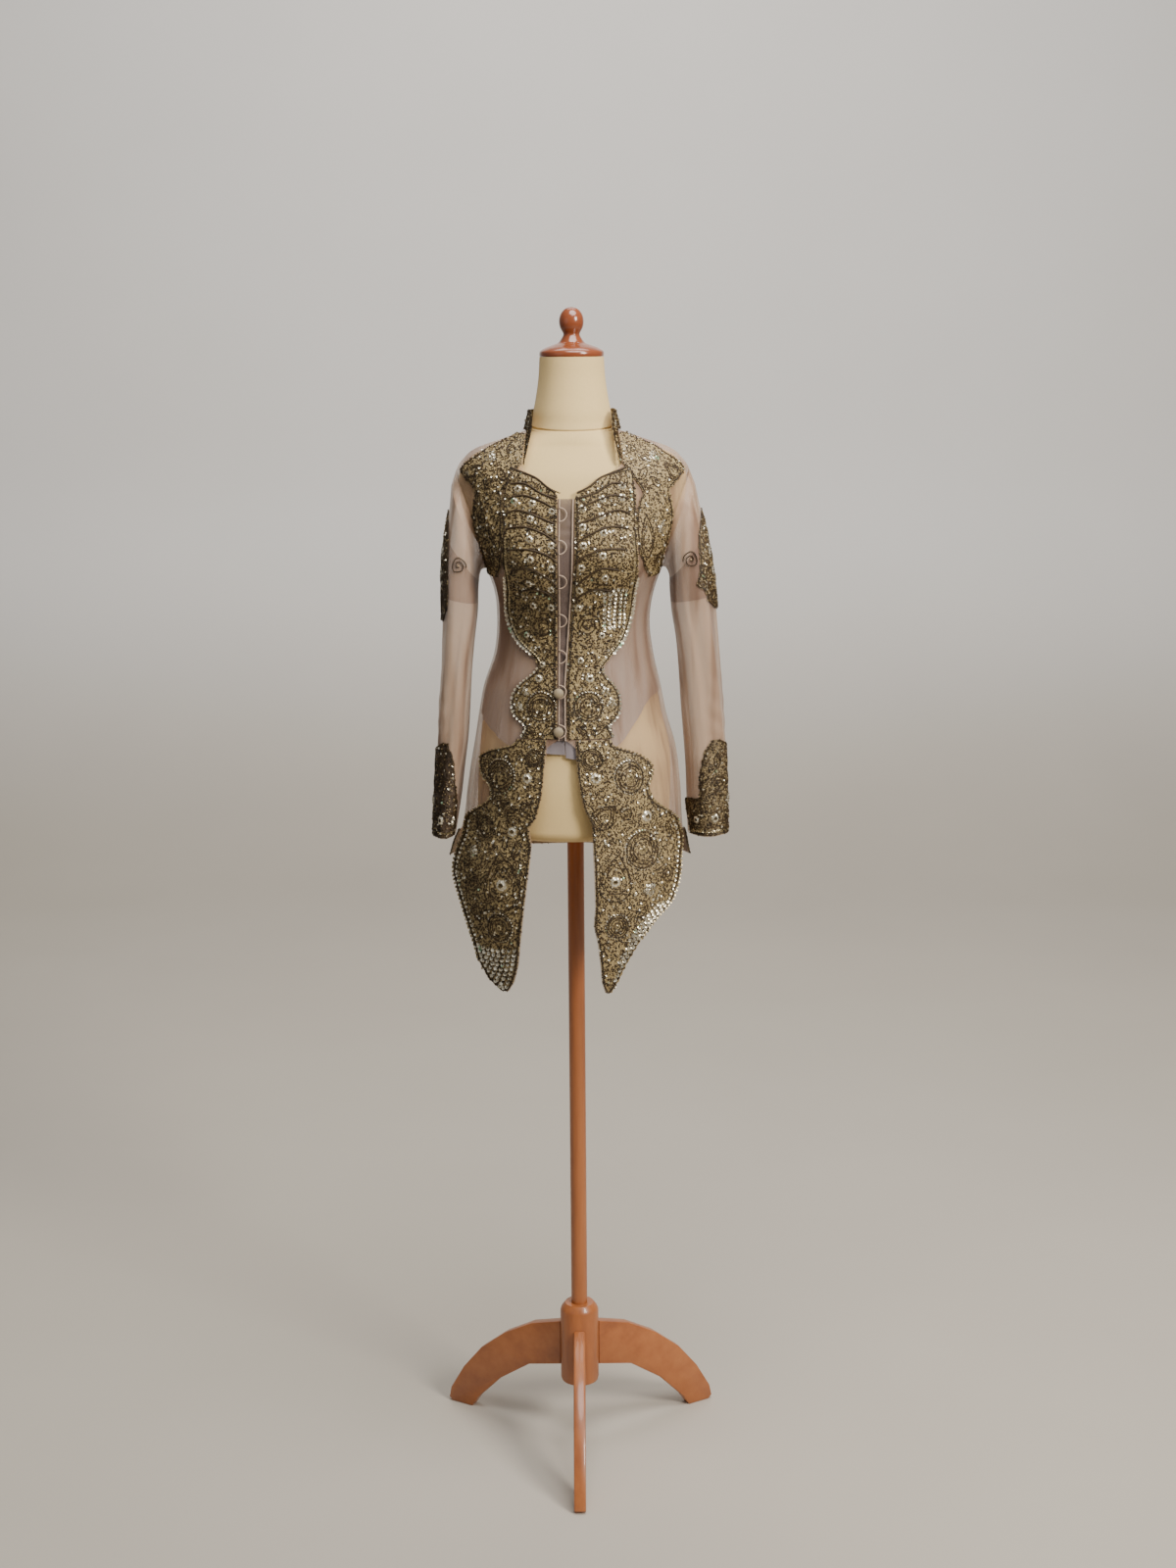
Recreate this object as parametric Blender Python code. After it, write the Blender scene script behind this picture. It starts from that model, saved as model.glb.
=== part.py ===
"""Kebaya blouse of beaded tulle on a limbless dress form with a three-legged stand.

Metres, +Z up, the front of the blouse faces -Y and +X is the wearer's left. Everything is
modelled about the form's own axis, and one empty sets that axis where the bounding box of the
whole is centred on the world origin. Cloth pieces are walls: each is a grid of points on the
body surface or the sleeve surface, moved out by the layer it belongs to.
"""

import math
from collections import namedtuple

import bmesh
import bpy
import numpy as np
from mathutils import Vector
from mathutils.bvhtree import BVHTree

# Where the form's axis stands in the world, so that the whole is centred on the origin
AXIS_X = -0.0065
AXIS_Y = 0.0510

# Layers of the worn blouse, measured out from the outer face of the tulle
SEAM_GAP = 0.0003
TULLE_WALL = 0.0010
UNDERLAP_TOP = -0.0018
UNDERLAP_WALL = 0.0009
LINING_TOP = -0.0036
LINING_WALL = 0.0010
FORM_INSET = 0.0070
LACE_GAP = 0.0009
LACE_WALL = 0.0013
LACE_RELIEF = 0.0014

# The blouse's own section at each height: half its breadth, its depth to the front and to the
# back of the axis, how far its middle hangs off the axis, and how far the form lies inside it
Section = namedtuple("Section", "z half front back shift inset")
BODY = (
    Section(0.740, 0.168, 0.136, 0.134, -0.0120, 0.030),
    Section(0.800, 0.178, 0.140, 0.137, -0.0115, 0.030),
    Section(0.860, 0.184, 0.141, 0.139, -0.0105, 0.030),
    Section(0.930, 0.181, 0.138, 0.138, -0.0090, 0.030),
    Section(0.965, 0.174, 0.134, 0.136, -0.0075, 0.027),
    Section(0.990, 0.166, 0.130, 0.134, -0.0050, 0.023),
    Section(1.015, 0.162, 0.127, 0.132, -0.0030, 0.019),
    Section(1.064, 0.156, 0.121, 0.127, -0.0010, 0.013),
    Section(1.117, 0.149, 0.112, 0.118, 0.0000, 0.0090),
    Section(1.163, 0.139, 0.104, 0.107, -0.0030, 0.0075),
    Section(1.204, 0.131, 0.098, 0.096, -0.0030, FORM_INSET),
    Section(1.255, 0.117, 0.092, 0.082, -0.0005, FORM_INSET),
    Section(1.303, 0.1125, 0.091, 0.078, -0.0005, FORM_INSET),
    Section(1.340, 0.1165, 0.097, 0.083, 0.0010, FORM_INSET),
    Section(1.377, 0.1290, 0.105, 0.092, 0.0015, FORM_INSET),
    Section(1.410, 0.1460, 0.110, 0.099, 0.0010, FORM_INSET),
    Section(1.450, 0.1630, 0.108, 0.104, 0.0000, FORM_INSET),
    Section(1.490, 0.1710, 0.100, 0.105, 0.0000, FORM_INSET),
    Section(1.520, 0.1690, 0.090, 0.100, 0.0000, FORM_INSET),
    Section(1.535, 0.1590, 0.082, 0.094, 0.0000, FORM_INSET),
    Section(1.552, 0.1370, 0.073, 0.084, 0.0000, FORM_INSET),
    Section(1.563, 0.1040, 0.068, 0.077, 0.0000, FORM_INSET),
    Section(1.575, 0.0690, 0.064, 0.070, 0.0000, FORM_INSET),
)
BUST_ANGLE = math.radians(29.0)
BUST_SPREAD = math.radians(21.0)
BUST_HEIGHT = 1.388
BUST_TALL = 0.048
BUST_OUT = 0.017

# Upright folds of the tulle over the hips; the stiff beaded hem of the fronts flattens them
FOLD_START = 1.150
FOLD_FULL = 1.070
BEADED_TOP = 1.050
BEADED_FLAT = 1.000
FOLD_DEPTH = 0.0050
FOLDS_ROUND = 12

# Armhole oval, in height and in angle round the body
ARMHOLE_BOTTOM = 1.377
ARMHOLE_TOP = 1.522
ARMHOLE_DIP = math.radians(28.0)
SLEEVE_SIDES = 18

# Front edges of the tulle, seen from the front: x of the edge at the opening and of the outer
# edge below the side seam, which is None where the panel runs to the side seam
Edge = namedtuple("Edge", "z inner outer")
SIDE_SEAM_FOOT = 1.005
RIGHT_FRONT = (
    Edge(0.769, -0.0985, -0.1085),
    Edge(0.785, -0.0895, -0.1285),
    Edge(0.812, -0.0830, -0.1440),
    Edge(0.845, -0.0795, -0.1530),
    Edge(0.897, -0.0735, -0.1720),
    Edge(0.935, -0.0685, -0.1835),
    Edge(0.965, -0.0645, -0.1780),
    Edge(0.990, -0.0620, -0.1690),
    Edge(1.012, -0.0660, None),
    Edge(1.026, -0.0560, None),
    Edge(1.060, -0.0470, None),
    Edge(1.096, -0.0425, None),
    Edge(1.130, -0.0390, None),
    Edge(1.139, -0.0235, None),
    Edge(1.218, -0.0227, None),
    Edge(1.3025, -0.0212, None),
    Edge(1.414, -0.0208, None),
    Edge(1.486, -0.0196, None),
    Edge(1.4976, -0.0291, None),
    Edge(1.5240, -0.0702, None),
    Edge(1.5450, -0.0692, None),
    Edge(1.5630, -0.0672, None),
    Edge(1.5750, -0.0650, None),
)
LEFT_FRONT = (
    Edge(0.769, 0.0420, 0.0510),
    Edge(0.785, 0.0371, 0.0610),
    Edge(0.812, 0.0350, 0.0740),
    Edge(0.845, 0.0315, 0.0945),
    Edge(0.873, 0.0255, 0.1180),
    Edge(0.897, 0.0280, 0.1430),
    Edge(0.930, 0.0270, 0.1540),
    Edge(0.990, 0.0252, 0.1600),
    Edge(1.018, 0.0244, None),
    Edge(1.044, 0.0119, None),
    Edge(1.091, 0.0039, None),
    Edge(1.130, 0.0014, None),
    Edge(1.139, -0.0118, None),
    Edge(1.218, -0.0118, None),
    Edge(1.3025, -0.0055, None),
    Edge(1.372, -0.0005, None),
    Edge(1.486, 0.0022, None),
    Edge(1.4895, 0.0137, None),
    Edge(1.5095, 0.0457, None),
    Edge(1.5310, 0.0707, None),
    Edge(1.5450, 0.0697, None),
    Edge(1.5630, 0.0675, None),
    Edge(1.5750, 0.0650, None),
)
BACK_HEM = 0.945
BACK_HEM_DIP = 0.014
NECK_EDGE = 1.575
FRONT_COLUMNS = 10
BACK_COLUMNS = 16
BACK_SKIRT_TOP = 1.050
BACK_SKIRT_ROWS = 7

# A short distance at a seam becomes an angle at this radius; flat facets need a little more
SIDE_RADIUS = 0.10
FACET_TURN = 0.0006

# Heights at which the body panels have a row of points, outside the armhole
LOWER_ROWS = (
    0.769, 0.785, 0.812, 0.845, 0.873, 0.900, 0.930, 0.960, 0.990, 1.004, 1.018, 1.044, 1.075, 1.105,
)
WAIST_ROWS = (1.130, 1.139, 1.160, 1.182, 1.204, 1.226, 1.248, 1.270, 1.292, 1.314, 1.335, 1.356)
SHOULDER_ROWS = (1.534, 1.548, 1.562, NECK_EDGE)

# Lining: a long strapless bodice with a pointed hem, its hem height at angles from the front
LiningEdge = namedtuple("LiningEdge", "angle right_hem left_hem")
LINING_HEM = (
    LiningEdge(0, 1.1180, 1.1120),
    LiningEdge(25, 1.1220, 1.1280),
    LiningEdge(42, 1.1290, 1.1600),
    LiningEdge(57, 1.1450, 1.1870),
    LiningEdge(73, 1.1585, 1.1960),
    LiningEdge(90, 1.1700, 1.2000),
)
LINING_BACK_HEM = 1.172
LINING_TOP_EDGE = 1.402
LINING_BUST_RISE = 0.030
LINING_CUP_SPREAD = 0.45
LINING_OPENING = math.radians(-5.0)
LINING_COLUMNS = 9
LINING_LOWEST_ROW = 1.20
LINING_ROW_STEP = 0.003

# Sleeves hang empty: the outer and inner point of each ring, half its depth from front to back
Ring = namedtuple("Ring", "outer_x outer_z inner_x inner_z depth forward")
RIGHT_SLEEVE = (
    Ring(0.1760, 1.4980, 0.1335, 1.3745, 0.0555, 0.000),
    Ring(0.1795, 1.4640, 0.1360, 1.3695, 0.0590, 0.001),
    Ring(0.1855, 1.4280, 0.1375, 1.3610, 0.0600, 0.001),
    Ring(0.1900, 1.3900, 0.1385, 1.3490, 0.0595, 0.001),
    Ring(0.1910, 1.3500, 0.1390, 1.3330, 0.0585, 0.002),
    Ring(0.1915, 1.3100, 0.1405, 1.3100, 0.0575, 0.002),
    Ring(0.1935, 1.2700, 0.1460, 1.2700, 0.0560, 0.003),
    Ring(0.1960, 1.2250, 0.1510, 1.2250, 0.0535, 0.003),
    Ring(0.2010, 1.1750, 0.1545, 1.1750, 0.0505, 0.004),
    Ring(0.2035, 1.1300, 0.1580, 1.1300, 0.0480, 0.004),
    Ring(0.2060, 1.0850, 0.1640, 1.0850, 0.0455, 0.005),
    Ring(0.2080, 1.0450, 0.1690, 1.0450, 0.0435, 0.006),
    Ring(0.2095, 1.0100, 0.1745, 1.0100, 0.0425, 0.006),
    Ring(0.2105, 0.9820, 0.1790, 0.9820, 0.0420, 0.006),
)
LEFT_SLEEVE = (
    Ring(0.1775, 1.4980, 0.1345, 1.3760, 0.0555, 0.000),
    Ring(0.1850, 1.4640, 0.1375, 1.3710, 0.0590, 0.001),
    Ring(0.1935, 1.4280, 0.1400, 1.3620, 0.0600, 0.001),
    Ring(0.2000, 1.3900, 0.1400, 1.3490, 0.0590, 0.001),
    Ring(0.2050, 1.3500, 0.1405, 1.3330, 0.0575, 0.002),
    Ring(0.2085, 1.3100, 0.1430, 1.3100, 0.0560, 0.002),
    Ring(0.2120, 1.2700, 0.1500, 1.2700, 0.0540, 0.003),
    Ring(0.2160, 1.2250, 0.1545, 1.2250, 0.0515, 0.003),
    Ring(0.2205, 1.1750, 0.1580, 1.1750, 0.0485, 0.004),
    Ring(0.2235, 1.1300, 0.1620, 1.1300, 0.0460, 0.004),
    Ring(0.2250, 1.0850, 0.1655, 1.0850, 0.0435, 0.005),
    Ring(0.2255, 1.0450, 0.1670, 1.0450, 0.0420, 0.006),
    Ring(0.2255, 1.0100, 0.1680, 1.0100, 0.0410, 0.006),
    Ring(0.2250, 0.9820, 0.1690, 0.9820, 0.0405, 0.006),
)
SLEEVE_FOLD_DEPTH = 0.0022
SLEEVE_FOLDS_ROUND = 5
SLEEVE_ROUNDNESS = 0.85

# Collar: foot and top edge from the front corner round to the middle of the back
CollarPost = namedtuple("CollarPost", "foot_x foot_y foot_z top_x top_y top_z")
COLLAR = (
    CollarPost(0.0680, -0.0790, 1.5290, 0.0672, -0.0815, 1.5360),
    CollarPost(0.0672, -0.0690, 1.5465, 0.0615, -0.0735, 1.5580),
    CollarPost(0.0655, -0.0540, 1.5630, 0.0565, -0.0585, 1.5820),
    CollarPost(0.0640, -0.0330, 1.5745, 0.0575, -0.0360, 1.6020),
    CollarPost(0.0670, -0.0140, 1.5762, 0.0607, -0.0140, 1.6035),
    CollarPost(0.0685, 0.0080, 1.5762, 0.0620, 0.0080, 1.6040),
    CollarPost(0.0600, 0.0350, 1.5762, 0.0550, 0.0330, 1.6045),
    CollarPost(0.0340, 0.0612, 1.5762, 0.0315, 0.0570, 1.6050),
    CollarPost(0.0000, 0.0700, 1.5762, 0.0000, 0.0655, 1.6050),
)
COLLAR_WALL = 0.0014
COLLAR_SHARES = (0.0, 0.35, 0.7, 1.0)

# Bead lace laid on the fronts: x of both edges at each height, with the rise of a row across it
Lace = namedtuple("Lace", "z inner outer rise")
RIGHT_BUST = (
    Lace(1.4825, -0.0212, -0.0790, 0.0390),
    Lace(1.4500, -0.0222, -0.0905, 0.0350),
    Lace(1.4000, -0.0225, -0.0925, 0.0300),
    Lace(1.3500, -0.0228, -0.0918, 0.0230),
    Lace(1.3120, -0.0230, -0.0905, 0.0110),
    Lace(1.2860, -0.0234, -0.0800, 0.0010),
    Lace(1.2620, -0.0238, -0.0560, -0.0020),
    Lace(1.2440, -0.0240, -0.0490, 0.0000),
)
LEFT_BUST = (
    Lace(1.4825, 0.0040, 0.0780, 0.0410),
    Lace(1.4500, 0.0034, 0.0830, 0.0360),
    Lace(1.4000, 0.0028, 0.0855, 0.0300),
    Lace(1.3500, -0.0008, 0.0835, 0.0230),
    Lace(1.3120, -0.0035, 0.0800, 0.0110),
    Lace(1.2860, -0.0055, 0.0715, 0.0010),
    Lace(1.2620, -0.0072, 0.0545, -0.0020),
    Lace(1.2440, -0.0086, 0.0420, 0.0000),
)
RIGHT_WAIST = (
    Lace(1.2425, -0.0240, -0.0500, 0.0),
    Lace(1.2330, -0.0241, -0.0570, 0.0),
    Lace(1.2150, -0.0243, -0.0780, 0.0),
    Lace(1.1980, -0.0245, -0.0880, 0.0),
    Lace(1.1750, -0.0248, -0.0860, 0.0),
    Lace(1.1580, -0.0250, -0.0690, 0.0),
    Lace(1.1450, -0.0252, -0.0740, 0.0),
    Lace(1.1410, -0.0252, -0.0740, 0.0),
)
LEFT_WAIST = (
    Lace(1.2425, -0.0088, 0.0415, 0.0),
    Lace(1.2330, -0.0095, 0.0420, 0.0),
    Lace(1.2150, -0.0100, 0.0570, 0.0),
    Lace(1.1980, -0.0100, 0.0650, 0.0),
    Lace(1.1750, -0.0100, 0.0635, 0.0),
    Lace(1.1580, -0.0100, 0.0500, 0.0),
    Lace(1.1450, -0.0100, 0.0540, 0.0),
    Lace(1.1410, -0.0100, 0.0540, 0.0),
)
RIGHT_HEM = (
    Lace(1.1390, -0.0400, -0.0800, 0.0),
    Lace(1.1280, -0.0410, -0.0900, 0.0),
    Lace(1.1150, -0.0420, -0.1250, 0.0),
    Lace(1.1050, -0.0430, -0.1365, 0.0),
    Lace(1.0850, -0.0450, -0.1350, 0.0),
    Lace(1.0650, -0.0470, -0.1200, 0.0),
    Lace(1.0450, -0.0510, -0.1250, 0.0),
    Lace(1.0260, -0.0572, -0.1480, 0.0),
    Lace(1.0120, -0.0670, -0.1600, 0.0),
    Lace(0.9850, -0.0632, -0.1655, 0.0),
    Lace(0.9620, -0.0660, -0.1750, 0.0),
    Lace(0.9350, -0.0697, -0.1800, 0.0),
    Lace(0.8970, -0.0747, -0.1690, 0.0),
    Lace(0.8450, -0.0807, -0.1515, 0.0),
    Lace(0.8120, -0.0842, -0.1425, 0.0),
    Lace(0.7850, -0.0907, -0.1270, 0.0),
    Lace(0.7690, -0.0995, -0.1078, 0.0),
)
LEFT_HEM = (
    Lace(1.1390, 0.0030, 0.0500, 0.0),
    Lace(1.1280, 0.0030, 0.0570, 0.0),
    Lace(1.1150, 0.0035, 0.0900, 0.0),
    Lace(1.1000, 0.0042, 0.1090, 0.0),
    Lace(1.0850, 0.0055, 0.1110, 0.0),
    Lace(1.0650, 0.0090, 0.1050, 0.0),
    Lace(1.0440, 0.0131, 0.1150, 0.0),
    Lace(1.0260, 0.0215, 0.1350, 0.0),
    Lace(1.0120, 0.0256, 0.1480, 0.0),
    Lace(0.9850, 0.0264, 0.1560, 0.0),
    Lace(0.9580, 0.0282, 0.1545, 0.0),
    Lace(0.9300, 0.0285, 0.1520, 0.0),
    Lace(0.8970, 0.0292, 0.1405, 0.0),
    Lace(0.8730, 0.0267, 0.1160, 0.0),
    Lace(0.8450, 0.0327, 0.0930, 0.0),
    Lace(0.8120, 0.0362, 0.0725, 0.0),
    Lace(0.7850, 0.0383, 0.0595, 0.0),
    Lace(0.7690, 0.0430, 0.0502, 0.0),
)
SHOULDER = (
    Lace(1.5690, 0.0690, 0.0790, 0.0),
    Lace(1.5580, 0.0700, 0.1150, 0.0),
    Lace(1.5450, 0.0715, 0.1420, 0.0),
    Lace(1.5300, 0.0735, 0.1580, 0.0),
    Lace(1.5200, 0.0850, 0.1600, 0.0),
    Lace(1.5080, 0.0960, 0.1480, 0.0),
    Lace(1.4960, 0.1030, 0.1330, 0.0),
)
ARMPIT = (
    Lace(1.4800, 0.1080, 0.1360, 0.0),
    Lace(1.4600, 0.1020, 0.1420, 0.0),
    Lace(1.4350, 0.0980, 0.1380, 0.0),
    Lace(1.4050, 0.1000, 0.1290, 0.0),
    Lace(1.3850, 0.1020, 0.1260, 0.0),
    Lace(1.3700, 0.1080, 0.1200, 0.0),
)
BUST_BANDS = 8
BUST_LACE_ROWS = 33
BUST_LACE_COLUMNS = 6
HEM_LACE_COLUMNS = 7
SMALL_LACE_COLUMNS = 6

# Lobes across and down a lace piece, and the share of its breadth that thins out at each rim
LOBES_ACROSS = 2.5
LOBES_DOWN = 9.0
SLEEVE_LOBES_ACROSS = 2.0
SLEEVE_LOBES_DOWN = 2.2
LACE_RIM = 0.04
RIB_ROUNDNESS = 0.6

# Lace on the sleeves: ring position and the two angles round it, 0 outward and 90 to the front
SleeveLace = namedtuple("SleeveLace", "ring back front")
UPPER_SLEEVE_LACE = (
    SleeveLace(1.10, 0, 20),
    SleeveLace(1.55, -20, 50),
    SleeveLace(2.00, -40, 85),
    SleeveLace(2.60, -40, 100),
    SleeveLace(3.20, -40, 100),
    SleeveLace(4.00, -40, 90),
    SleeveLace(4.70, -30, 40),
    SleeveLace(5.20, -12, 14),
)
CUFF_LACE = (
    SleeveLace(9.15, -16, 20),
    SleeveLace(9.60, -40, 46),
    SleeveLace(10.0, -60, 62),
    SleeveLace(10.8, -60, 66),
    SleeveLace(11.3, -74, 90),
    SleeveLace(12.0, -80, 120),
    SleeveLace(12.95, -80, 120),
)
UPPER_LACE_COLUMNS = 8
CUFF_LACE_COLUMNS = 11
BACK_LACE_TALL = 0.033
BACK_SCALLOP = 0.006
BACK_LACE_EDGE = 0.0005
BACK_LACE_SIDE = 0.004
BACK_LACE_RELIEF = (0.2, 0.9, 0.6, 0.1)

# Test points in each cell of a piece that is laid on another, and how far each looks
LIFT_STEPS = np.linspace(0.0, 1.0, 8)
LIFT_SHARES = [
    np.array([(1 - a) * (1 - b), (1 - a) * b, a * (1 - b), a * b]) for a in LIFT_STEPS for b in LIFT_STEPS
]
LIFT_PROBE = 0.012
LIFT_PASSES = 3

# Closure at the front: cord piping on both edges, loops on the wearer's right edge, ball buttons
PIPING_WIDE = 0.0020
PIPING_OUT = 0.0012
PIPING_ROUND = np.array([0.6, 1.0, 0.6])
CLOSURE_LOW = 1.135
CLOSURE_HIGH = 1.487
UNDERLAP_REACH = 0.004
LOOP_HEIGHTS = (1.4615, 1.4165, 1.3680, 1.3105, 1.2580, 1.2080, 1.1520)
LOOP_REACH = 0.0105
LOOP_HALF_TALL = 0.0095
LOOP_CORD = 0.0009
BUTTON_HEIGHTS = (1.2060, 1.1510)
BUTTON_RADIUS = 0.0074
BUTTON_THICK = 0.0085
BUTTON_LOW = math.radians(-58.0)
BUTTON_HIGH = math.radians(70.0)
BUTTON_RINGS = 6
BUTTON_SET = 0.0015
BUTTON_SEAT = 0.0027

# Dress form and stand
NeckRing = namedtuple("NeckRing", "z radius")
NECK = (
    NeckRing(1.574, 0.0610),
    NeckRing(1.586, 0.0582),
    NeckRing(1.600, 0.0562),
    NeckRing(1.622, 0.0520),
    NeckRing(1.650, 0.0480),
    NeckRing(1.6788, 0.0462),
)
FORM_ROWS = (
    1.000, 1.030, 1.064, 1.117, 1.160, 1.204, 1.237, 1.265, 1.292, 1.324, 1.356, 1.385, 1.415,
    1.440, 1.465, 1.490, 1.510, 1.525, 1.540, 1.552, 1.561,
)
FORM_SIDES = 22
FORM_FOOT = 0.986
FORM_FOOT_SHARE = 0.86
CapRing = namedtuple("CapRing", "radius z")
CAP = (
    CapRing(0.0460, 1.6792),
    CapRing(0.0464, 1.6830),
    CapRing(0.0450, 1.6868),
    CapRing(0.0380, 1.6912),
    CapRing(0.0280, 1.6950),
    CapRing(0.0192, 1.6985),
    CapRing(0.0145, 1.7045),
    CapRing(0.0118, 1.7098),
    CapRing(0.0128, 1.7132),
    CapRing(0.0162, 1.7195),
    CapRing(0.0177, 1.7275),
    CapRing(0.0166, 1.7355),
    CapRing(0.0134, 1.7418),
    CapRing(0.0078, 1.7466),
)
CAP_TIP = 1.7486
CAP_SIDES = 16
POLE_RADIUS = 0.0125
ROUND_SIDES = 14

# The hub is turned, then flatted where a leg meets it
HUB_FLAT = 0.0300
HUB_SIDES = 12
HUB_HIGH = 0.2250
HubRing = namedtuple("HubRing", "share z")
HUB = (HubRing(0.86, 0.0950), HubRing(1.0, 0.1010), HubRing(1.0, 0.2130), HubRing(0.72, HUB_HIGH))
LEG_THICK = 0.018
LegPoint = namedtuple("LegPoint", "out z")
LEG_OUTLINE = (
    LegPoint(HUB_FLAT + SEAM_GAP, 0.1150),
    LegPoint(0.0900, 0.1000),
    LegPoint(0.1450, 0.0620),
    LegPoint(0.1880, 0.0180),
    LegPoint(0.2000, 0.0000),
    LegPoint(0.2380, 0.0000),
    LegPoint(0.2440, 0.0060),
    LegPoint(0.2400, 0.0240),
    LegPoint(0.2150, 0.0660),
    LegPoint(0.1800, 0.1080),
    LegPoint(0.1350, 0.1440),
    LegPoint(0.0850, 0.1720),
    LegPoint(HUB_FLAT + SEAM_GAP, 0.1880),
)
LEG_TURNS = (0.0, 120.0, 240.0)

CREAM = (0.76, 0.66, 0.42)
TERRACOTTA = (0.38, 0.085, 0.035)
BEECH = (0.44, 0.15, 0.05)
NUDE = (0.60, 0.45, 0.35)
LILAC = (0.40, 0.32, 0.31)
MAUVE = (0.30, 0.21, 0.17)
KHAKI = (0.33, 0.27, 0.14)


def clear_scene():
    for thing in list(bpy.data.objects):
        bpy.data.objects.remove(thing, do_unlink=True)


def make_material(name, colour, roughness, metallic=0.0):
    material = bpy.data.materials.new(name)
    material.use_nodes = True
    shader = material.node_tree.nodes["Principled BSDF"]
    shader.inputs["Base Color"].default_value = (*colour, 1.0)
    shader.inputs["Roughness"].default_value = roughness
    shader.inputs["Metallic"].default_value = metallic
    return material


def smooth_column(rows, column, heights):
    """A column of a table read at any height, with a smooth curve through its rows."""
    rows = sorted(rows, key=lambda row: row[0])
    known = np.array([row[0] for row in rows])
    values = np.array([getattr(row, column) for row in rows], float)
    slopes = np.gradient(values, known)
    heights = np.clip(np.asarray(heights, float), known[0], known[-1])
    cell = np.clip(np.searchsorted(known, heights) - 1, 0, len(known) - 2)
    span = known[cell + 1] - known[cell]
    part = (heights - known[cell]) / span
    start = (1 + 2 * part) * (1 - part) ** 2
    lean_in = part * (1 - part) ** 2
    lean_out = part**2 * (part - 1)
    inside = values[cell] * start + values[cell + 1] * (1 - start)
    return inside + span * (slopes[cell] * lean_in + slopes[cell + 1] * lean_out)


def straight_column(rows, column, heights):
    """A column of a table read at any height, straight between its rows."""
    rows = sorted(rows, key=lambda row: row[0])
    return np.interp(heights, [row[0] for row in rows], [getattr(row, column) for row in rows])


def smooth_step(low, high, values):
    part = np.clip((values - low) / (high - low), 0.0, 1.0)
    return part * part * (3 - 2 * part)


def bust_swell(angles, heights):
    level = np.exp(-(((heights - BUST_HEIGHT) / BUST_TALL) ** 2))
    left = np.exp(-(((angles - BUST_ANGLE) / BUST_SPREAD) ** 2))
    right = np.exp(-(((angles + BUST_ANGLE) / BUST_SPREAD) ** 2))
    return BUST_OUT * level * (left + right)


def hip_folds(angles, heights):
    """Outward folds over the hips, uneven round the body and strongest at the sides."""
    beaded = smooth_step(BEADED_TOP, BEADED_FLAT, heights) * smooth_step(-0.35, 0.0, np.cos(angles))
    depth = FOLD_DEPTH * smooth_step(FOLD_START, FOLD_FULL, heights) * (1 - beaded)
    uneven = 0.55 + 0.45 * np.sin(2.3 * angles + 0.8)
    beside = 0.35 + 0.65 * np.abs(np.sin(angles))
    return depth * uneven * beside * (0.5 + 0.5 * np.cos(FOLDS_ROUND * angles + 0.7))


def body_surface(angles, heights, folded):
    """Points on the body at angles from the front, positive to the wearer's left."""
    angles, heights = np.broadcast_arrays(np.asarray(angles, float), np.asarray(heights, float))
    wrapped = (angles + math.pi) % (2 * math.pi) - math.pi
    swell = bust_swell(wrapped, heights)
    if folded:
        swell = swell + hip_folds(wrapped, heights)
    front = smooth_column(BODY, "front", heights)
    back = smooth_column(BODY, "back", heights)
    depth = np.where(np.cos(angles) > 0, front, back) + swell
    half = smooth_column(BODY, "half", heights) + swell * np.abs(np.sin(angles))
    shift = smooth_column(BODY, "shift", heights)
    return np.stack([shift + half * np.sin(angles), -depth * np.cos(angles), heights], axis=-1)


def body_normals(angles, heights, folded):
    step_angle, step_height = 0.01, 0.002
    round_body = body_surface(angles + step_angle, heights, folded)
    round_body = round_body - body_surface(angles - step_angle, heights, folded)
    up_body = body_surface(angles, heights + step_height, folded)
    up_body = up_body - body_surface(angles, heights - step_height, folded)
    normals = np.cross(round_body, up_body)
    return normals / np.linalg.norm(normals, axis=-1, keepdims=True)


def on_body(angles, heights, out, folded=True):
    """Points at a distance out from the body surface, along its normal."""
    angles, heights = np.broadcast_arrays(np.asarray(angles, float), np.asarray(heights, float))
    out = np.asarray(out, float)[..., None]
    return body_surface(angles, heights, folded) + out * body_normals(angles, heights, folded)


def angle_of(x, heights):
    """Angle from the front at which the body surface has this x."""
    half = smooth_column(BODY, "half", heights)
    shift = smooth_column(BODY, "shift", heights)
    return np.arcsin(np.clip((np.asarray(x) - shift) / half, -1.0, 1.0))


def armhole_heights():
    turns = np.linspace(0.0, math.pi, SLEEVE_SIDES // 2 + 1)
    middle = (ARMHOLE_TOP + ARMHOLE_BOTTOM) / 2
    return middle - (ARMHOLE_TOP - ARMHOLE_BOTTOM) / 2 * np.cos(turns)


def armhole_angle(heights):
    """How far round from the front the panel reaches at each height of the armhole."""
    part = np.clip((heights - ARMHOLE_BOTTOM) / (ARMHOLE_TOP - ARMHOLE_BOTTOM), 0.0, 1.0)
    return math.pi / 2 - ARMHOLE_DIP * np.sqrt(np.sin(math.pi * part))


def seam_angle(heights):
    """The angle that leaves half a seam's gap at the side of the body."""
    return SEAM_GAP / 2 / smooth_column(BODY, "half", heights) + FACET_TURN


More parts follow.
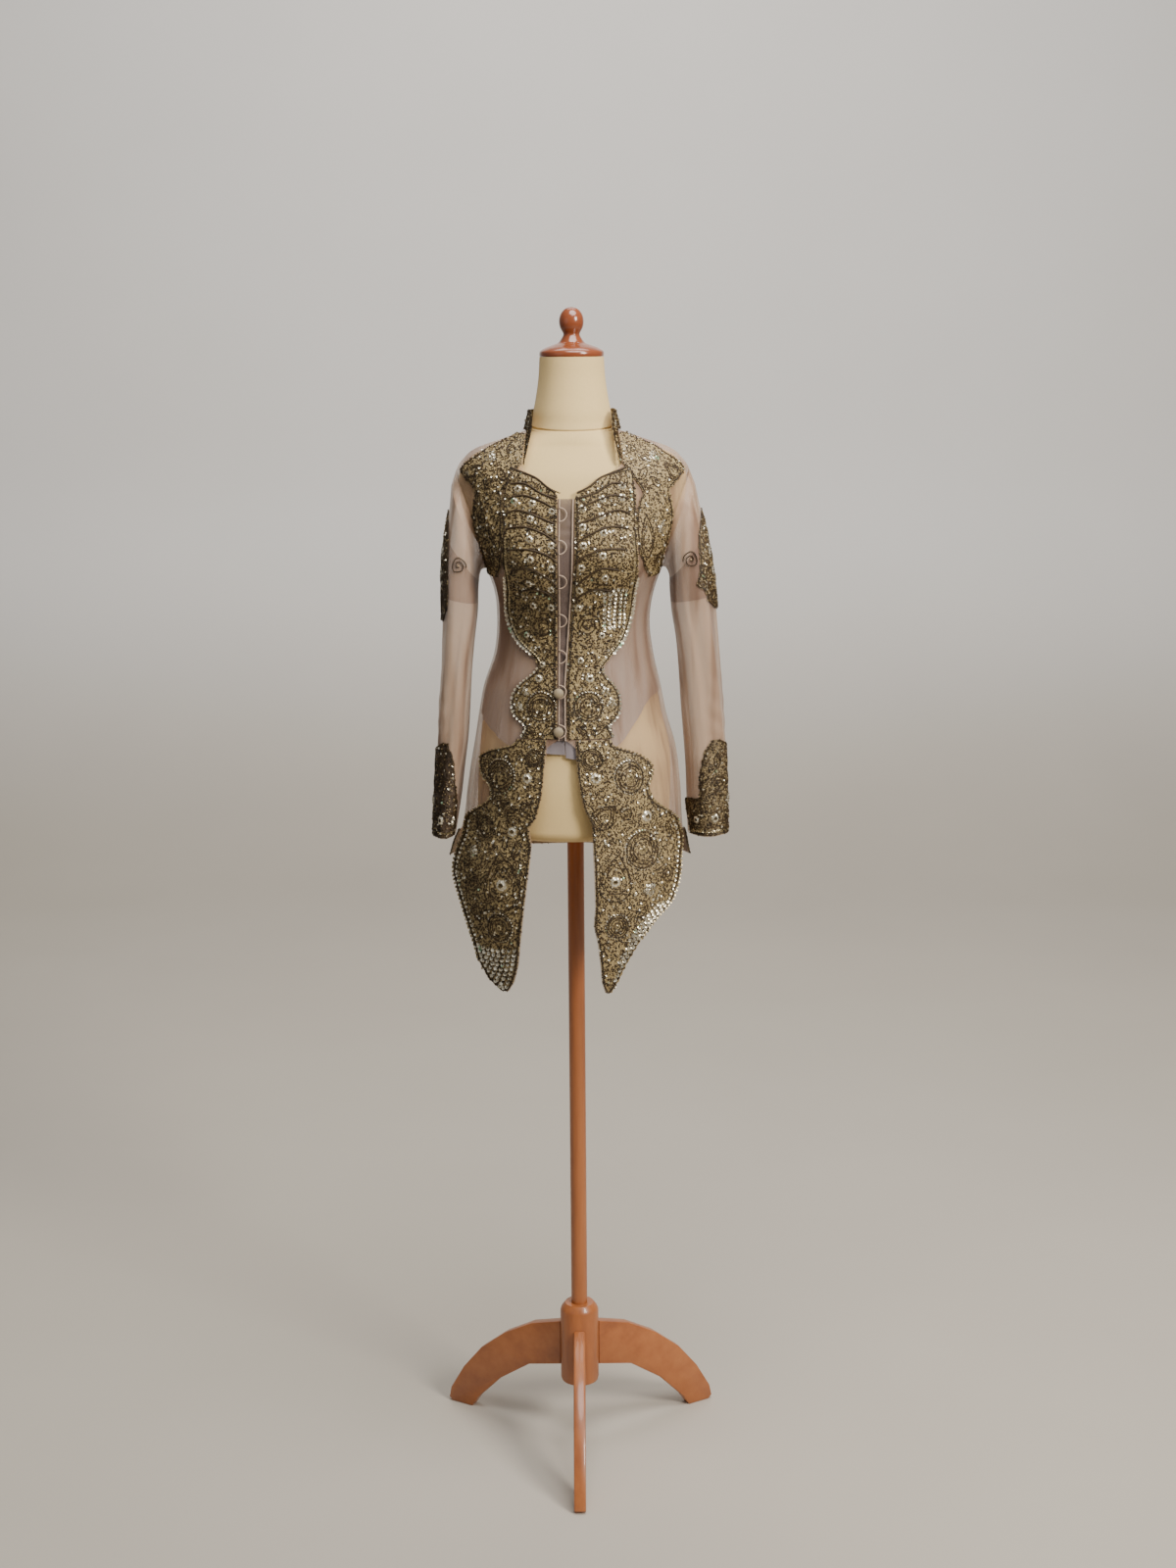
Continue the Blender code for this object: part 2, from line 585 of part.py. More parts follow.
def wall(name, outer, inner, material, closed_round=False):
    """A closed solid between two grids of points, in rows, with their rims joined."""
    rows, columns = outer.shape[:2]
    points = np.concatenate([outer.reshape(-1, 3), inner.reshape(-1, 3)])
    mesh = bpy.data.meshes.new(name)
    faces = []
    around = columns if closed_round else columns - 1
    offset = rows * columns
    for row in range(rows - 1):
        for column in range(around):
            beside = (column + 1) % columns
            low, high = row * columns, (row + 1) * columns
            quad = (low + column, low + beside, high + beside, high + column)
            faces.append(quad)
            faces.append(tuple(offset + corner for corner in reversed(quad)))
    for column in range(around):
        beside = (column + 1) % columns
        top = (rows - 1) * columns
        faces.append((column, offset + column, offset + beside, beside))
        faces.append((top + column, top + beside, offset + top + beside, offset + top + column))
    if not closed_round:
        for row in range(rows - 1):
            low, high = row * columns, (row + 1) * columns
            faces.append((low, high, offset + high, offset + low))
            low, high = low + columns - 1, high + columns - 1
            faces.append((low, offset + low, offset + high, high))
    mesh.from_pydata(points.tolist(), [], faces)
    return finish(name, mesh, material)


def finish(name, mesh, material, sharp=40.0):
    """Turn the faces outward, shade them and set the piece on the form's axis."""
    work = bmesh.new()
    work.from_mesh(mesh)
    bmesh.ops.recalc_face_normals(work, faces=work.faces)
    work.to_mesh(mesh)
    work.free()
    mesh.polygons.foreach_set("use_smooth", [True] * len(mesh.polygons))
    mesh.set_sharp_from_angle(angle=math.radians(sharp))
    mesh.materials.append(material)
    piece = bpy.data.objects.new(name, mesh)
    bpy.context.scene.collection.objects.link(piece)
    piece.parent = bpy.data.objects["form_axis"]
    return piece


def body_wall(name, angles, heights, top, thick, material, folded=True):
    outer = on_body(angles, heights, top, folded)
    inner = on_body(angles, heights, np.asarray(top) - thick, folded)
    return wall(name, outer, inner, material)


def front_panel(name, side, edges, material):
    """One front of the blouse: side is -1 for the wearer's right and 1 for the left."""
    heights = np.concatenate([LOWER_ROWS, WAIST_ROWS, armhole_heights(), SHOULDER_ROWS])
    start = angle_of(straight_column(edges, "inner", heights), heights)
    end = side * (armhole_angle(heights) - seam_angle(heights))
    below = [edge for edge in edges if edge.outer is not None]
    hem = angle_of(straight_column(below, "outer", heights), heights)
    end = np.where(heights < SIDE_SEAM_FOOT, hem, end)
    share = np.linspace(0.0, 1.0, FRONT_COLUMNS)
    angles = start[:, None] + (end - start)[:, None] * share
    return body_wall(name, angles, heights[:, None], 0.0, TULLE_WALL, material)


def back_panel(material):
    lower = np.linspace(0.0, 1.0, BACK_SKIRT_ROWS)
    fixed = np.concatenate([LOWER_ROWS[-2:], WAIST_ROWS, armhole_heights(), SHOULDER_ROWS])
    half_turn = armhole_angle(fixed) - seam_angle(fixed)
    share = np.linspace(-1.0, 1.0, BACK_COLUMNS)
    upper = math.pi + share * half_turn[:, None]
    skirt = np.repeat(upper[:1], len(lower), axis=0)
    hem = BACK_HEM - BACK_HEM_DIP * np.cos(share * math.pi / 2)
    skirt_heights = hem + (BACK_SKIRT_TOP - hem) * lower[:, None]
    heights = np.concatenate([skirt_heights, np.repeat(fixed[:, None], BACK_COLUMNS, axis=1)])
    angles = np.concatenate([skirt, upper])
    return body_wall("tulle_back", angles, heights, 0.0, TULLE_WALL, material)


def armhole_ring(side, clear):
    """Angles and heights of the sleeve's first ring, just inside the armhole's edge."""
    turns = np.arange(SLEEVE_SIDES) / SLEEVE_SIDES * 2 * math.pi
    middle = (ARMHOLE_TOP + ARMHOLE_BOTTOM) / 2
    tall = (ARMHOLE_TOP - ARMHOLE_BOTTOM) / 2
    at = armhole_angle(middle + tall * np.cos(turns)) + clear / SIDE_RADIUS
    at = np.minimum(at, math.pi / 2)
    at = np.where(np.sin(turns) < 0, math.pi - at, at)
    return side * at, middle + (tall - clear) * np.cos(turns)


def sleeve_surface(rings, side, positions, turns, out):
    """Points on a sleeve at fractional ring positions and angles, 0 outward and 90 to the front."""
    numbers = np.arange(len(rings))
    columns = zip(Ring._fields, zip(*rings))
    read = {key: np.interp(positions, numbers, values) for key, values in columns}
    middle_x = (read["outer_x"] + read["inner_x"]) / 2
    middle_z = (read["outer_z"] + read["inner_z"]) / 2
    across_x = (read["outer_x"] - read["inner_x"]) / 2
    across_z = (read["outer_z"] - read["inner_z"]) / 2
    grow = 1.0 + sleeve_fold(positions, turns) / np.maximum(read["depth"], 0.01)
    reach = np.sign(np.cos(turns)) * np.abs(np.cos(turns)) ** SLEEVE_ROUNDNESS
    deep = np.sin(turns)
    x = side * (middle_x + across_x * reach * grow)
    y = -(read["depth"] * grow * deep + read["forward"])
    z = middle_z + across_z * reach
    points = np.stack([x, y, z], axis=-1)
    length = np.hypot(across_x, across_z)
    lift = np.stack(
        [
            side * across_x / length * reach / length * read["depth"],
            -deep * np.ones_like(length),
            across_z / length * reach / length * read["depth"],
        ],
        axis=-1,
    )
    lift = lift / np.linalg.norm(lift, axis=-1, keepdims=True)
    return points + np.asarray(out)[..., None] * lift


def sleeve_fold(positions, turns):
    strength = SLEEVE_FOLD_DEPTH * smooth_step(1.5, 5.0, positions)
    return strength * np.sin(SLEEVE_FOLDS_ROUND * turns + 0.45 * positions)


def sleeve(name, rings, side, material):
    """A sleeve as one tube, from the armhole's own curve to the open cuff."""
    turns = np.arange(SLEEVE_SIDES) / SLEEVE_SIDES * 2 * math.pi
    positions = np.arange(len(rings), dtype=float)[:, None] + 0 * turns
    turns = turns + 0 * positions
    outer = sleeve_surface(rings, side, positions, turns, np.zeros_like(turns))
    inner = sleeve_surface(rings, side, positions, turns, np.full_like(turns, -TULLE_WALL))
    angles, heights = armhole_ring(side, SEAM_GAP * 1.5)
    first_outer = on_body(angles, heights, np.zeros_like(angles), False)
    first_inner = on_body(angles, heights, np.full_like(angles, -TULLE_WALL), False)
    outer = np.concatenate([first_outer[None], outer])
    inner = np.concatenate([first_inner[None], inner])
    return wall(name, outer, inner, material, closed_round=True)


def collar(material):
    """The standing collar, mirrored from its half table, a row of points for each height."""
    feet = [(p.foot_x, p.foot_y, p.foot_z) for p in COLLAR]
    tops = [(p.top_x, p.top_y, p.top_z) for p in COLLAR]
    feet = np.array(feet + [(-x, y, z) for x, y, z in feet[-2::-1]])
    tops = np.array(tops + [(-x, y, z) for x, y, z in tops[-2::-1]])
    outer = np.stack([feet + (tops - feet) * part for part in COLLAR_SHARES])
    along = np.gradient(outer, axis=1)
    up = np.gradient(outer, axis=0)
    normals = np.cross(up, along)
    normals /= np.linalg.norm(normals, axis=-1, keepdims=True)
    outward = np.sign(np.sum(normals * outer * (1, 1, 0), axis=-1, keepdims=True))
    return wall("collar", outer, outer - COLLAR_WALL * normals * outward, material)


def lining_front(name, side, key, material):
    reach = math.pi / 2 - SEAM_GAP / SIDE_RADIUS
    angles = np.linspace(LINING_OPENING + side * SEAM_GAP / SIDE_RADIUS, side * reach, LINING_COLUMNS)
    known = [edge.angle for edge in LINING_HEM]
    hem = np.interp(np.abs(np.degrees(angles)), known, [getattr(edge, key) for edge in LINING_HEM])
    cup = np.exp(-(((np.abs(angles) - BUST_ANGLE) / LINING_CUP_SPREAD) ** 2))
    top = LINING_TOP_EDGE + LINING_BUST_RISE * cup
    heights = lining_rows(hem, top)
    angles = np.repeat(angles[None], len(heights), axis=0)
    return body_wall(name, angles, heights, LINING_TOP, LINING_WALL, material, folded=False)


def lining_rows(hem, top):
    """Row heights from a hem to a top edge, on the tulle's own rows in between."""
    shared = [height for height in WAIST_ROWS if height > LINING_LOWEST_ROW] + [ARMHOLE_BOTTOM]
    middle = [np.maximum(height, hem + LINING_ROW_STEP * row) for row, height in enumerate(shared, 1)]
    return np.stack([hem, *middle, (ARMHOLE_BOTTOM + top) / 2, top])


def lining_back(material):
    reach = math.pi / 2 - SEAM_GAP / SIDE_RADIUS
    angles = math.pi + np.linspace(-reach, reach, 2 * LINING_COLUMNS - 2)
    right_hem, left_hem = LINING_HEM[-1].right_hem, LINING_HEM[-1].left_hem
    beside = np.linspace(left_hem, right_hem, len(angles))
    hem = beside + (LINING_BACK_HEM - beside) * np.sin(angles - math.pi / 2)
    heights = lining_rows(hem, np.full(len(angles), LINING_TOP_EDGE))
    angles = np.repeat(angles[None], len(heights), axis=0)
    return body_wall("lining_back", angles, heights, LINING_TOP, LINING_WALL, material, folded=False)


def closure_rows():
    """The tulle's own rows along the closed part of the front."""
    rows = np.concatenate([WAIST_ROWS, armhole_heights()])
    return rows[(rows > CLOSURE_LOW) & (rows < CLOSURE_HIGH)]


def underlap(material):
    """The strip that closes the gap behind the loops, under both front edges."""
    heights = closure_rows()
    left = angle_of(straight_column(RIGHT_FRONT, "inner", heights) - UNDERLAP_REACH, heights)
    right = angle_of(straight_column(LEFT_FRONT, "inner", heights) + UNDERLAP_REACH, heights)
    angles = np.stack([left, (left + right) / 2, right], axis=1)
    return body_wall("underlap", angles, heights[:, None], UNDERLAP_TOP, UNDERLAP_WALL, material)


def piping(name, edges, side, material):
    """A cord piping along one front edge, beside the tulle."""
    heights = closure_rows()
    edge = straight_column(edges, "inner", heights)
    near = angle_of(edge - side * SEAM_GAP, heights)
    far = angle_of(edge - side * (SEAM_GAP + PIPING_WIDE), heights)
    angles = np.stack([near, (near + far) / 2, far], axis=1)
    outer = on_body(angles, heights[:, None], PIPING_OUT * PIPING_ROUND)
    inner = on_body(angles, heights[:, None], np.full(3, -TULLE_WALL))
    return wall(name, outer, inner, material)


def rib_relief(share_down, bands):
    """Rounded bands across a strip of lace, with narrow valleys between them."""
    return np.abs(np.sin(math.pi * bands * share_down)) ** RIB_ROUNDNESS


def rim_share(share):
    """Full thickness in the middle of a lace piece, thinning to its two rims."""
    return np.sin(math.pi * np.clip(share, LACE_RIM, 1 - LACE_RIM)) ** 0.5


def lace_panel(name, table, columns, material, carrier, bands=0, mirrored=1):
    """Bead lace on a front, from its edge table, raised in bands or in round lobes."""
    low, high = min(row.z for row in table), max(row.z for row in table)
    heights = np.linspace(high, low, BUST_LACE_ROWS) if bands else np.array([row.z for row in table])
    read = smooth_column if bands else straight_column
    inner_x = mirrored * read(table, "inner", heights)
    outer_x = mirrored * read(table, "outer", heights)
    rise = read(table, "rise", heights)
    share = np.linspace(0.0, 1.0, columns)
    x = inner_x[:, None] + (outer_x - inner_x)[:, None] * share
    z = heights[:, None] + rise[:, None] * share
    angles = angle_of(x, z)
    down = (high - heights)[:, None] / (high - low) + 0 * share
    if bands:
        raised = rib_relief(down, bands)
    else:
        raised = 0.5 + 0.5 * np.cos(2 * math.pi * LOBES_ACROSS * share + LOBES_DOWN * down)
    thick = LACE_WALL + LACE_RELIEF * raised * rim_share(share)
    grid, normals = body_surface(angles, z, True), body_normals(angles, z, False)
    return settled_wall(name, grid, normals, thick, carrier, material)


def back_hem_lace(material, carrier):
    share = np.linspace(-1.0, 1.0, BACK_COLUMNS)
    angles = math.pi + share * (math.pi / 2 - BACK_LACE_SIDE)
    hem = BACK_HEM - BACK_HEM_DIP * np.cos(share * math.pi / 2) + BACK_LACE_EDGE
    scallop = BACK_SCALLOP * (np.arange(BACK_COLUMNS) % 2)
    rows = len(BACK_LACE_RELIEF)
    heights = hem + (BACK_LACE_TALL + scallop) * np.linspace(0.0, 1.0, rows)[:, None]
    angles = np.repeat(angles[None], rows, axis=0)
    thick = LACE_WALL + LACE_RELIEF * np.array(BACK_LACE_RELIEF)[:, None] + 0 * angles
    grid, normals = body_surface(angles, heights, True), body_normals(angles, heights, False)
    return settled_wall("lace_back_hem", grid, normals, thick, carrier, material)


def sleeve_lace(name, tube, table, columns):
    """Bead lace on a sleeve: the tube gives its rings, its side, its solid and the material."""
    rings, side, carrier, material = tube
    positions = np.array([row.ring for row in table])[:, None]
    back = np.radians([row.back for row in table])[:, None]
    front = np.radians([row.front for row in table])[:, None]
    share = np.linspace(0.0, 1.0, columns)
    turns = back + (front - back) * share
    positions = positions + 0 * share
    raised = 0.5 + 0.5 * np.cos(2 * math.pi * SLEEVE_LOBES_ACROSS * share + SLEEVE_LOBES_DOWN * positions)
    raised = raised * rim_share(share)
    grid = sleeve_surface(rings, side, positions, turns, np.zeros_like(turns))
    normals = sleeve_surface(rings, side, positions, turns, np.ones_like(turns)) - grid
    return settled_wall(name, grid, normals, LACE_WALL + LACE_RELIEF * raised, carrier, material)


def front_point(x, height, out):
    angle = angle_of(x, height)
    return on_body(np.array([float(angle)]), np.array([height]), np.array([out]))[0]


def lift_clear(grid, normals, carrier, gap):
    """How far each point rises along its normal so that the facets between clear the carrier."""
    tree = BVHTree.FromPolygons(*carrier_faces(carrier))
    lift = np.full(grid.shape[:2], gap)
    cells = [(row, column) for row in range(grid.shape[0] - 1) for column in range(grid.shape[1] - 1)]
    for row, column in cells * LIFT_PASSES:
        block = (slice(row, row + 2), slice(column, column + 2))
        leans = normals[block].reshape(4, 3)
        corners = grid[block].reshape(4, 3) + leans * lift[block].reshape(4, 1)
        short = 0.0
        for shares in LIFT_SHARES:
            point, lean = Vector(shares @ corners), Vector(shares @ leans).normalized()
            hit = tree.ray_cast(point + lean * LIFT_PROBE, -lean, 2 * LIFT_PROBE)
            if hit[0] is not None:
                short = max(short, gap + LIFT_PROBE - hit[3])
        lift[block] += short
    return lift


def carrier_faces(piece):
    points = [vertex.co for vertex in piece.data.vertices]
    piece.data.calc_loop_triangles()
    return points, [tuple(triangle.vertices) for triangle in piece.data.loop_triangles]


def settled_wall(name, grid, normals, thick, carrier, material):
    """A wall lying on another piece: its inner points just clear of it, its outer ones above."""
    lift = lift_clear(grid, normals, carrier, LACE_GAP)[..., None]
    inner = grid + normals * lift
    return wall(name, inner + normals * thick[..., None], inner, material)


def button_loop(number, height, material):
    """A cord loop from the right front's piping out over the underlap and back."""
    edge = float(straight_column(RIGHT_FRONT, "inner", [height])[0])
    start = edge + SEAM_GAP + PIPING_WIDE / 2
    above = PIPING_OUT + LOOP_CORD + SEAM_GAP
    turns = np.linspace(-math.pi / 2, math.pi / 2, 7)
    route = bpy.data.curves.new(f"loop_{number}", "CURVE")
    route.dimensions = "3D"
    line = route.splines.new("POLY")
    line.points.add(len(turns) - 1)
    for point, turn in zip(line.points, turns):
        out_x = start + LOOP_REACH * math.cos(turn)
        at_z = height + LOOP_HALF_TALL * math.sin(turn)
        point.co = (*front_point(out_x, at_z, above), 1.0)
    route.bevel_depth = LOOP_CORD
    route.bevel_resolution = 1
    route.use_fill_caps = True
    route.materials.append(material)
    piece = bpy.data.objects.new(f"loop_{number}", route)
    bpy.context.scene.collection.objects.link(piece)
    piece.parent = bpy.data.objects["form_axis"]
    return piece


def lathe(name, profile, sides, material, tip_z=None):
    """A turned piece from a profile of rings, flat at the ends or drawn to a tip at the last."""
    turns = np.arange(sides) / sides * 2 * math.pi
    points = [(r * math.cos(a), r * math.sin(a), z) for r, z in profile for a in turns]
    faces = []
    for row in range(len(profile) - 1):
        for column in range(sides):
            beside = (column + 1) % sides
            low, high = row * sides, (row + 1) * sides
            faces.append((low + column, low + beside, high + beside, high + column))
    faces.append(tuple(range(sides)))
    last = (len(profile) - 1) * sides
    if tip_z is None:
        faces.append(tuple(range(last, last + sides)))
    else:
        points.append((0.0, 0.0, tip_z))
        faces += [(last + c, last + (c + 1) % sides, len(points) - 1) for c in range(sides)]
    mesh = bpy.data.meshes.new(name)
    mesh.from_pydata(points, [], faces)
    return finish(name, mesh, material)


def ball_button(number, height, material):
    """A cloth-covered button, domed to the front, just clear of the lace edge it lies on."""
    turns = np.linspace(BUTTON_LOW, BUTTON_HIGH, BUTTON_RINGS)
    profile = [(BUTTON_RADIUS * math.cos(t), BUTTON_THICK / 2 * math.sin(t)) for t in turns]
    button = lathe(f"button_{number}", profile, ROUND_SIDES, material)
    edge = float(straight_column(RIGHT_FRONT, "inner", [height])[0])
    out = BUTTON_SEAT - BUTTON_THICK / 2 * math.sin(BUTTON_LOW)
    button.location = front_point(edge + BUTTON_SET, height, out).tolist()
    button.rotation_euler = (math.radians(90), 0.0, 0.0)
    return button


def dress_form(material):
    """The padded torso and neck as one smooth closed solid."""
    turns = np.arange(FORM_SIDES) / FORM_SIDES * 2 * math.pi
    heights = np.array(FORM_ROWS)[:, None]
    inset = smooth_column(BODY, "inset", heights)
    rings = list(on_body(turns[None] + 0 * heights, heights + 0 * turns, -inset + 0 * turns, False))
    foot = rings[0] * (FORM_FOOT_SHARE, FORM_FOOT_SHARE, 1.0)
    foot[:, 2] = FORM_FOOT
    rings.insert(0, foot)
    for ring in NECK:
        x = ring.radius * np.sin(turns)
        y = -ring.radius * np.cos(turns)
        rings.append(np.stack([x, y, np.full_like(x, ring.z)], axis=-1))
    sides = FORM_SIDES
    faces = [tuple(range(sides)), tuple(range((len(rings) - 1) * sides, len(rings) * sides))]
    for row in range(len(rings) - 1):
        for column in range(sides):
            beside = (column + 1) % sides
            low, high = row * sides, (row + 1) * sides
            faces.append((low + column, low + beside, high + beside, high + column))
    mesh = bpy.data.meshes.new("form_torso")
    mesh.from_pydata(np.concatenate(rings).tolist(), [], faces)
    return finish("form_torso", mesh, material)


def leg(number, turn, material):
    """A flat board leg, its outline drawn outward from the hub and given its thickness."""
    mesh = bpy.data.meshes.new(f"leg_{number}")
    work = bmesh.new()
    face = work.faces.new([work.verts.new((-LEG_THICK / 2, -p.out, p.z)) for p in LEG_OUTLINE])
    made = bmesh.ops.extrude_face_region(work, geom=[face])["geom"]
    moved = [item for item in made if isinstance(item, bmesh.types.BMVert)]
    bmesh.ops.translate(work, verts=moved, vec=(LEG_THICK, 0.0, 0.0))
    work.to_mesh(mesh)
    work.free()
    piece = finish(f"leg_{number}", mesh, material)
    piece.rotation_euler = (0.0, 0.0, math.radians(turn))
    return piece


def stand(material):
    """Pole, hub and three legs."""
    ends = (HUB_HIGH + SEAM_GAP, FORM_FOOT - SEAM_GAP)
    lathe("pole", [(POLE_RADIUS, z) for z in ends], ROUND_SIDES, material)
    radius = HUB_FLAT / math.cos(math.pi / HUB_SIDES)
    hub = lathe("hub", [(radius * ring.share, ring.z) for ring in HUB], HUB_SIDES, material)
    hub.rotation_euler = (0.0, 0.0, math.pi / HUB_SIDES)
    for number, turn in enumerate(LEG_TURNS, 1):
        leg(number, turn, material)


def blouse():
    tulle = make_material("nude_tulle", NUDE, 0.75)
    lilac = make_material("lilac_lining", LILAC, 0.7)
    mauve = make_material("mauve_tulle", MAUVE, 0.75)
    right = front_panel("tulle_front_right", -1, RIGHT_FRONT, tulle)
    left = front_panel("tulle_front_left", 1, LEFT_FRONT, tulle)
    back = back_panel(tulle)
    right_sleeve = sleeve("sleeve_right", RIGHT_SLEEVE, -1, tulle)
    left_sleeve = sleeve("sleeve_left", LEFT_SLEEVE, 1, tulle)
    lining_front("lining_front_right", -1, "right_hem", lilac)
    lining_front("lining_front_left", 1, "left_hem", lilac)
    lining_back(lilac)
    underlap(mauve)
    piping("piping_right", RIGHT_FRONT, -1, tulle)
    piping("piping_left", LEFT_FRONT, 1, tulle)
    for number, height in enumerate(LOOP_HEIGHTS, 1):
        button_loop(number, height, tulle)
    for number, height in enumerate(BUTTON_HEIGHTS, 1):
        ball_button(number, height, tulle)
    bead_lace((right, left, back), (right_sleeve, left_sleeve))


def bead_lace(panels, sleeves):
    """Every lace piece, each laid on the panel or the sleeve that carries it."""
    lace = make_material("bead_lace", KHAKI, 0.55)
    right, left, back = panels
    collar(lace)
    lace_panel("lace_bust_right", RIGHT_BUST, BUST_LACE_COLUMNS, lace, right, BUST_BANDS)
    lace_panel("lace_bust_left", LEFT_BUST, BUST_LACE_COLUMNS, lace, left, BUST_BANDS)
    lace_panel("lace_waist_right", RIGHT_WAIST, SMALL_LACE_COLUMNS, lace, right)
    lace_panel("lace_waist_left", LEFT_WAIST, SMALL_LACE_COLUMNS, lace, left)
    lace_panel("lace_hem_right", RIGHT_HEM, HEM_LACE_COLUMNS, lace, right)
    lace_panel("lace_hem_left", LEFT_HEM, HEM_LACE_COLUMNS, lace, left)
    back_hem_lace(lace, back)
    for panel, side, name in ((right, -1, "right"), (left, 1, "left")):
        lace_panel(f"lace_shoulder_{name}", SHOULDER, SMALL_LACE_COLUMNS, lace, panel, mirrored=side)
        lace_panel(f"lace_armhole_{name}", ARMPIT, SMALL_LACE_COLUMNS - 1, lace, panel, mirrored=side)
    places = ((RIGHT_SLEEVE, sleeves[0], -1, "right"), (LEFT_SLEEVE, sleeves[1], 1, "left"))
    for rings, carrier, side, name in places:
        tube = (rings, side, carrier, lace)
        sleeve_lace(f"lace_sleeve_{name}", tube, UPPER_SLEEVE_LACE, UPPER_LACE_COLUMNS)
        sleeve_lace(f"lace_cuff_{name}", tube, CUFF_LACE, CUFF_LACE_COLUMNS)


def build():
    clear_scene()
    axis = bpy.data.objects.new("form_axis", None)
    axis.location = (AXIS_X, AXIS_Y, 0.0)
    bpy.context.scene.collection.objects.link(axis)
    dress_form(make_material("cream_cloth", CREAM, 0.85))
    lathe("neck_cap", CAP, CAP_SIDES, make_material("turned_cap", TERRACOTTA, 0.3), tip_z=CAP_TIP)
    stand(make_material("stand_wood", BEECH, 0.45))
    blouse()


build()
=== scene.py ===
"""Looks of the kebaya blouse of beaded tulle on its dress form: cloth, bead lace and stand."""

import math
from collections import namedtuple

import bpy
import numpy as np
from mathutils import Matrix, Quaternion, Vector


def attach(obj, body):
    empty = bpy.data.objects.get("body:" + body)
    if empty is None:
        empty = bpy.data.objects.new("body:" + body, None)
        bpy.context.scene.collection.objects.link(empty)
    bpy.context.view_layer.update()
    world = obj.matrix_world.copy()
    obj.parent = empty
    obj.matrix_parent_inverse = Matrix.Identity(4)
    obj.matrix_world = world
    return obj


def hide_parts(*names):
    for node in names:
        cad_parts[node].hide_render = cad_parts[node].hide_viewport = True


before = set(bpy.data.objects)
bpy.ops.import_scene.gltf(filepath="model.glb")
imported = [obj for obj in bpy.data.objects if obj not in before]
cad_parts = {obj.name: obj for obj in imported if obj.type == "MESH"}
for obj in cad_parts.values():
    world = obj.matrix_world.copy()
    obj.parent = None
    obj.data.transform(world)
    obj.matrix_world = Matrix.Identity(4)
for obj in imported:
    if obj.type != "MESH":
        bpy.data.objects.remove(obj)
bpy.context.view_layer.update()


# The studio: one pale sweep from floor to wall, a soft key light from the wearer's left with a weak
# one from the right, lights over the form and the wall, and the camera, tilted down at the blouse.
AXIS = np.array([-0.0065, 0.0510, 0.0])
PHOTO_TALL = 1600
FOCAL = 2200.0
TILT = math.radians(11.6)
ROLL = math.radians(0.4)
EYE = AXIS + (0.0192, -3.15, 1.70)
SWEEP_CORNER = 1.4
SWEEP_REACH = 4.8
SWEEP_NEAR = -8.0
SWEEP_TALL = 6.5
SWEEP_HALF = 8.0
CORNER_STEPS = 12


class Sum:
    """A shader socket that takes part in Python sums, each of which adds a Math node."""

    def __init__(self, shade, socket):
        self.shade = shade
        self.socket = socket

    def math(self, operation, first, second=0.0):
        return self.shade.node("ShaderNodeMath", {"operation": operation}, {0: first, 1: second})

    def __add__(self, other):
        return self.math("ADD", self, other)

    def __sub__(self, other):
        return self.math("SUBTRACT", self, other)

    def __mul__(self, other):
        return self.math("MULTIPLY", self, other)

    def __pow__(self, other):
        return self.math("POWER", self, other)

    def __rsub__(self, other):
        return self.math("SUBTRACT", other, self)

    __radd__ = __add__
    __rmul__ = __mul__

    def sine(self):
        return self.math("SINE", self)

    def above(self, level):
        return self.math("GREATER_THAN", self, level)

    def size(self):
        return self.math("ABSOLUTE", self)

    def larger(self, other):
        return self.math("MAXIMUM", self, other)


class Shade:
    """One material: its Principled shader, and node() to add any other node."""

    def __init__(self, name, **fixed):
        self.material = bpy.data.materials.new(name)
        self.material.use_nodes = True
        self.tree = self.material.node_tree
        self.shader = self.tree.nodes["Principled BSDF"]
        for key, value in fixed.items():
            self.shader.inputs[key.replace("_", " ")].default_value = value

    def node(self, kind, settings=None, sockets=None, output=0):
        made = self.tree.nodes.new(kind)
        for key, value in (settings or {}).items():
            if key == "stops":
                self.set_stops(made.color_ramp, value)
            else:
                setattr(made, key, value)
        for key, value in (sockets or {}).items():
            self.feed(made.inputs[key], value)
        return Sum(self, made.outputs[output])

    def set_stops(self, ramp, stops):
        while len(ramp.elements) < len(stops):
            ramp.elements.new(1.0)
        for element, (position, colour) in zip(ramp.elements, stops):
            element.position = position
            element.color = (*colour, 1.0)

    def feed(self, socket, value):
        if isinstance(value, Sum):
            self.tree.links.new(value.socket, socket)
        else:
            socket.default_value = value

    def set(self, **surface):
        for key, value in surface.items():
            self.feed(self.shader.inputs[key.replace("_", " ")], value)
        return self.material

    def here(self):
        """The point's own place in metres."""
        return self.node("ShaderNodeTexCoord", output="Object")

    def noise(self, scale, detail=2.0, where=None, rough=0.5):
        sockets = {"Scale": scale, "Detail": detail, "Roughness": rough, "Vector": where or self.here()}
        return self.node("ShaderNodeTexNoise", sockets=sockets)

    def cells(self, scale, output="Distance"):
        sockets = {"Scale": scale, "Vector": self.here()}
        return self.node("ShaderNodeTexVoronoi", sockets=sockets, output=output)

    def blend(self, first, second, share):
        colours = {0: share, 6: (*first, 1.0) if isinstance(first, tuple) else first}
        colours[7] = (*second, 1.0) if isinstance(second, tuple) else second
        return self.node("ShaderNodeMix", {"data_type": "RGBA"}, colours, 2)

    def stretched(self, x, y, z):
        return self.node("ShaderNodeMapping", sockets={"Vector": self.here(), "Scale": (x, y, z)})

    def axis(self, name, where=None):
        return self.node("ShaderNodeSeparateXYZ", sockets={0: where or self.here()}, output=name)

    def bump(self, height, strength, depth):
        sockets = {"Height": height, "Strength": strength, "Distance": depth}
        return self.node("ShaderNodeBump", sockets=sockets)


def link(piece):
    bpy.context.scene.collection.objects.link(piece)
    return piece


